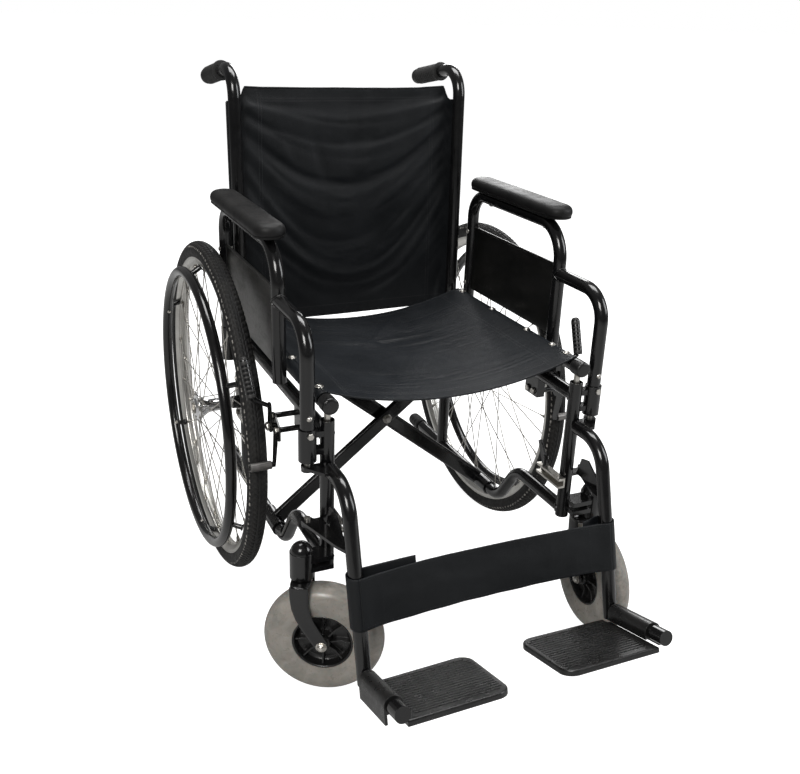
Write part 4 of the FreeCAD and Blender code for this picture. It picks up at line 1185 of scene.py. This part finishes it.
def make_guard(side):
    """The skirt guard: a thin sheet with a rolled top edge and its screws."""
    k = SIDES[side]
    front, rear = -303 + 11.3, 8 - 11.3
    sheet, bead, screws = Batch(), Batch(), Batch()
    cols, rows = 90, 30
    points = []
    for face in (1, -1):
        for r in range(rows):
            for c in range(cols):
                y = front + (rear - front) * c / (cols - 1)
                z = 484 + (610 - 484) * r / (rows - 1)
                wave = 0.7 * noise.noise(Vector((y * 0.012, z * 0.014, k * 3.0)))
                wave *= smooth(min(y - front, rear - y) / 30)
                points.append(at(k * (ARM_X + wave + face * 1.1), y, z))
    inner = len(points) // 2
    faces = grid(rows, cols, flip=k < 0)
    faces += [tuple(i + inner for i in f[::-1]) for f in faces]
    rim = [c for c in range(cols)] + [r * cols + cols - 1 for r in range(1, rows)]
    rim += [(rows - 1) * cols + c for c in range(cols - 2, -1, -1)]
    rim += [r * cols for r in range(rows - 2, 0, -1)]
    for a, b in zip(rim, rim[1:] + rim[:1]):
        faces.append((a, b, b + inner, a + inner) if k < 0 else (b, a, a + inner, b + inner))
    sheet.add(points, faces)
    sheet.piece(f"guard_sheet_{side}", MAT["guard"], f"armrest_{side}", "guard_panel",
                [f"skirt_guard_{side}"], smooth=35)
    crest_path = [at(k * ARM_X, rear - n * (rear - front) / 40, 608.6) for n in range(41)]
    sweep(bead, crest_path, 2.4, 14)
    bead.piece(f"guard_fold_{side}", MAT["guard"], f"armrest_{side}", "guard_panel")
    for y, z in ((8, 600), (8, 496)):
        screw(screws, at(k * (ARM_X + 10.7), y, z), Vector((k, 0, 0)), 4.6, 2.4)
        screw(screws, at(k * (ARM_X - 10.7), y, z), Vector((-k, 0, 0)), 4.6, 2.4)
    screws.piece(f"guard_screws_{side}", MAT["zinc"], f"armrest_{side}", "zinc")


# --- grips, caps and small hardware -----------------------------------------------------------
def make_grip(side):
    k = SIDES[side]
    fall = math.tan(math.radians(9.5))
    start_y, end_y = 38.6, 219.0
    line = lambda y: at(k * FRAME_X, y, 906.0 - (y - start_y) * fall)
    end = line(end_y)
    way = (end - line(start_y)).normalized()
    start = end - way * 104 * MM
    profile = [(0, 11.2), (0, 16.6), (0.8, 17.4), (3.2, 17.4), (4.2, 16.4), (5.2, 14.6)]
    for n in range(11):
        base = 8 + 8 * n
        profile += [(base - 0.9, 14.4), (base + 0.2, 15.8), (base + 2, 16.2), (base + 3.8, 15.8),
                    (base + 4.9, 14.4)]
    profile += [(98, 14.6), (105, 14.6), (107.4, 13.6), (108.6, 11.4), (109, 8), (109, 0.1)]
    batch = Batch()
    lathe(batch, start, way, eased(profile, 0.6, 2), 56)
    batch.piece(f"grip_sleeve_{side}", MAT["grip"], f"{side}_frame", "grip_rubber",
                [f"push_grip_{side}"], smooth=50)
    cap = Batch()
    tip = at(k * FRAME_X, 166 - 38, 127)
    lathe(cap, tip, Vector((0, 1, 0)), eased([(0, 11.3), (0, 13.4), (1.2, 14), (6, 14), (7, 13.4),
          (12, 13.3), (13, 13.9), (18, 13.9), (19, 13.3), (24, 13.3), (25, 13.9), (30, 13.9),
          (31, 13.4), (40, 13.4), (42.6, 12.2), (43.8, 9.4), (44, 0.1)], 0.7, 2), 48)
    cap.piece(f"tip_rubber_{side}", MAT["grip"], f"{side}_frame", "grip_rubber",
              [f"tipping_cap_{side}"])
    end_cap = Batch()
    front = at(k * FRAME_X, -448, RAIL_Z)
    lathe(end_cap, front, Vector((0, 1, 0)), eased([(0, 0.1), (0, 9.4), (1.2, 12.2), (3, 13),
          (22, 13), (24, 12.6), (25, 11.3)], 0.9), 48)
    end_cap.piece(f"rail_plug_{side}", MAT["plastic"],
                  "cross_brace_right_foot" if side == "left" else "cross_brace_left_foot",
                  "black_plastic", [f"rail_cap_{side}"])


def make_screws(side):
    k = SIDES[side]
    seat = Batch()
    for y in (-396, -352, -269, -145, -25):
        up = Vector((0, 0, 1))
        lathe(seat, at(k * FRAME_X, y, RAIL_Z + 12.6), up, [(0, 6.8), (0.5, 6.8), (0.7, 6.4)], 28)
        screw(seat, at(k * FRAME_X, y, RAIL_Z + 13.1), up, 5.6, 2.8)
    seat.piece(f"seat_screw_heads_{side}", MAT["zinc"],
               "cross_brace_right_foot" if side == "left" else "cross_brace_left_foot", "zinc",
               [f"seat_screws_{side}"])
    back = Batch()
    for z in (520, 630, 740, 838):
        screw(back, at(k * FRAME_X, back_face(z) + 3.2, z), Vector((0, 1, 0)), 5.4, 3.6)
    back.piece(f"back_screw_heads_{side}", MAT["zinc"], f"{side}_frame", "zinc",
               [f"back_screws_{side}"])
    extra = Batch()
    hex_head(extra, at(k * ARM_X, -435 - 13.4, 434), Vector((0, -1, 0)), 5.4, 3.4)
    hex_head(extra, at(k * (FRAME_X - 11), 17, 404), Vector((-k, 0, 0)), 6, 3.6)
    hex_head(extra, at(k * (FRAME_X - 11), 17, 440), Vector((-k, 0, 0)), 6, 3.6)
    for y, z in ((-12, 270), (-12, 340), (30, 270), (30, 340)):
        hex_head(extra, at(k * (FRAME_X + 15), y, z), Vector((k, 0, 0)), 5.6, 3.2)
    extra.piece(f"frame_bolts_{side}", MAT["zinc"], f"{side}_frame", "zinc")
    arm = Batch()
    screw(arm, at(k * ARM_X, -435 - 10.9, 460), Vector((0, -1, 0)), 4.4, 2.8, recess="none")
    arm.piece(f"arm_snap_{side}", MAT["zinc"], f"armrest_{side}", "zinc")


def make_welds(side):
    k = SIDES[side]
    x, up, back = k * FRAME_X, Vector((0, 0, 1)), Vector((0, 1, 0))
    frame_bead, arm_bead = Batch(), Batch()
    spots = [((x, POST_Y, 425), up, back), ((x, CANE_Y, 425), up, -back),
             ((x, POST_Y, 213), up, back), ((x, CANE_Y, 127), back, up)]
    for n, (spot, main, branch) in enumerate(spots):
        weld(frame_bead, at(*spot), main, branch, 11.1, 11.1, n + k)
    frame_bead.piece(f"frame_welds_{side}", MAT["paint"], f"{side}_frame", "frame_paint")
    weld(arm_bead, at(k * ARM_X, -303, 595), up, -back, 11.1, 11.1, 7 + k)
    arm_bead.piece(f"arm_weld_{side}", MAT["paint"], f"armrest_{side}", "frame_paint")


def make_brake(side):
    """The lever's grip, the shoe's knurled sleeve and the pivot bolts."""
    k = SIDES[side]
    y0, z0 = BRAKE_PIVOT
    grip = Batch()
    start, end = at(k * 298, y0 - 9, z0 + 54), at(k * 302, y0 + 15, z0 + 107)
    way = (end - start).normalized()
    profile = [(0, 3.8), (0, 6.6), (1.2, 7.8), (4, 7.9)]
    for n in range(7):
        profile += [(7 + 7 * n, 7.9), (8 + 7 * n, 7.2), (10 + 7 * n, 7.2), (11 + 7 * n, 7.9)]
    profile += [(58, 7.9), (62, 7.2), (64.8, 5.2), (66, 2.6), (66.2, 0.1)]
    lathe(grip, start, way, eased(profile, 0.6, 2), 36)
    grip.piece(f"lever_grip_{side}", MAT["vinyl"], f"brake_handle_{side}", "grip_rubber")
    knurl = Batch()
    by, bz = SHOE_BAR
    points = []
    rows, cols = 44, 56
    for r in range(rows):
        for c in range(cols):
            bump = 0.22 if (r + c) % 2 else -0.1
            if r in (0, rows - 1):
                bump = -0.6
            angle = 2 * math.pi * c / cols
            radius = (6.75 + bump) * MM
            points.append(at(k * (268.5 + 34.6 * r / (rows - 1)), by, bz)
                          + Vector((0, math.cos(angle), math.sin(angle))) * radius)
    knurl.add(points, grid(rows, cols, wrap_cols=True, flip=k > 0)
              + [tuple(range(cols)), tuple(range((rows - 1) * cols, rows * cols))])
    knurl.piece(f"shoe_sleeve_{side}", MAT["knurl"], f"brake_arm_{side}", "zinc")
    bolts = Batch()
    hex_head(bolts, at(k * 269.6, y0, z0), Vector((k, 0, 0)), 7.2, 4.4)
    for y, z in ((-302, 407), (-326, 392)):
        hex_head(bolts, at(k * 261.5, y, z), Vector((k, 0, 0)), 5.6, 3.6)
    hex_head(bolts, at(k * (FRAME_X - 9), -322, 392), Vector((-k, 0, 0)), 6, 4)
    hex_head(bolts, at(k * (FRAME_X - 9), -304, 392), Vector((-k, 0, 0)), 6, 4)
    bolts.piece(f"brake_bolts_{side}", MAT["zinc"], f"{side}_frame", "zinc")


def make_cross_bolt():
    batch = Batch()
    way = Vector((0, 1, 0))
    for sign in (-1, 1):
        near = at(0, BRACE_Y + sign * 12.6, BRACE_Z)
        lathe(batch, near, way * sign, [(0, 8.4), (0.2, 8.8), (1.8, 8.8), (2, 8.4)], 40)
        hex_head(batch, near + way * sign * 2 * MM, way * sign, 6.8, 5.6)
        screw(batch, near + way * sign * 7.2 * MM, way * sign, 5, 1.4, recess="none")
    lathe(batch, at(0, BRACE_Y - 13, BRACE_Z), way, [(0, 5), (26, 5)], 24)
    batch.piece("cross_bolt_head", MAT["zinc"], "cross_brace_right_foot", "zinc", ["cross_bolt"])


for side in SIDES:
    make_arm_pad(side)
    make_guard(side)
    make_grip(side)
    make_screws(side)
    make_welds(side)
    make_brake(side)
make_cross_bolt()

PAINTED = ["arm_frame", "arm_socket", "hanger", "latch_lever", "brake_bracket", "brake_lever"]
for side in SIDES:
    for node in PAINTED:
        dress(f"{node}_{side}", MAT["paint"])
    dress(f"side_frame_{side}", paint(f"frame_paint_{side}", zinc_boxes(side)))
    dress(f"brake_shoe_{side}", MAT["paint"])
    dress(f"footplate_{side}", MAT["plastic"])
    dress(f"footplate_hinge_{side}", MAT["plastic"])
for node, k in (("cross_brace_a", 1), ("cross_brace_b", -1)):
    ends = (at(k * (FRAME_X - 6), POST_Y - 6, 440),
            at(k * (FRAME_X + 6), POST_Y + 6, 464.2))
    pin_box = (tuple(map(min, *ends)), tuple(map(max, *ends)))
    dress(node, paint(f"brace_paint_{node[-1]}", [pin_box]))


# --- stage, light and camera ------------------------------------------------------------------
def make_stage():
    """A plain pale floor, glowing a little to the camera so that it stays white far away."""
    batch = Batch()
    corners = [Vector((x, y, 0)) for y in (-45, 45) for x in (-45, 45)]
    batch.add(corners, grid(2, 2, flip=True))
    g = Graph("studio_floor", (0.5, 0.5, 0.5), 0.6, Emission_Color=(1, 1, 1, 1))
    g.put("Base Color", g.mix(g.noise(1.4, 3), (0.52, 0.52, 0.517), (0.48, 0.48, 0.477)))
    seen = g.new("ShaderNodeLightPath").outputs["Is Camera Ray"]
    g.put("Emission Strength", g.times(seen, 0.93))
    g.put("Normal", g.bump(g.noise(320, 3), 0.03, 0.0005))
    batch.piece("studio_floor", g.mat, smooth=60)


def area_light(name, place, target, size, power, colour=(1, 1, 1)):
    data = bpy.data.lights.new(name, "AREA")
    data.shape = "RECTANGLE"
    data.size, data.size_y = size
    data.energy = power
    data.color = colour
    lamp = bpy.data.objects.new(name, data)
    bpy.context.scene.collection.objects.link(lamp)
    lamp.location = place
    lamp.rotation_euler = (Vector(target) - Vector(place)).to_track_quat("-Z", "Y").to_euler()


def make_camera():
    azimuth, elevation, roll = (math.radians(a) for a in (-25.01, 22.45, 2.1))
    back = Vector((math.sin(azimuth) * math.cos(elevation),
                   -math.cos(azimuth) * math.cos(elevation), math.sin(elevation)))
    right = (-back).cross(Vector((0, 0, 1))).normalized()
    up = right.cross(-back)
    across = right * math.cos(roll) + up * math.sin(roll)
    over = up * math.cos(roll) - right * math.sin(roll)
    data = bpy.data.cameras.new("camera")
    data.sensor_width = 36.0
    data.lens = 931.2 / 800 * 36.0
    data.clip_start, data.clip_end = 0.05, 60
    camera = bpy.data.objects.new("camera", data)
    bpy.context.scene.collection.objects.link(camera)
    place = Matrix((across, over, back)).transposed().to_4x4()
    place.translation = at(-645, -1595, 1015)
    camera.matrix_world = place
    bpy.context.scene.camera = camera


def make_world():
    world = bpy.data.worlds.new("studio")
    bpy.context.scene.world = world
    world.use_nodes = True
    sky = world.node_tree.nodes["Background"]
    sky.inputs["Color"].default_value = (1.0, 1.0, 1.0, 1)
    tree = world.node_tree
    seen = tree.nodes.new("ShaderNodeLightPath").outputs["Is Camera Ray"]
    level = tree.nodes.new("ShaderNodeMath")
    level.operation = "MULTIPLY_ADD"
    tree.links.new(seen, level.inputs[0])
    level.inputs[1].default_value = 0.84
    level.inputs[2].default_value = 0.16
    tree.links.new(level.outputs[0], sky.inputs["Strength"])


make_stage()
make_camera()
make_world()
area_light("key", (-2.2, -2.6, 3.0), (0, 0, 0.5), (1.5, 1.5), 120, (1.0, 0.985, 0.965))
area_light("fill", (2.8, -1.6, 2.0), (0, 0, 0.5), (1.4, 2.0), 55, (0.97, 0.985, 1.0))
area_light("top", (0.3, 0.6, 3.4), (0, 0, 0.4), (2.4, 1.2), 90)
area_light("rim", (1.6, 2.8, 1.8), (0, 0, 0.5), (1.2, 1.6), 40)
bpy.context.scene.view_settings.view_transform = "Standard"
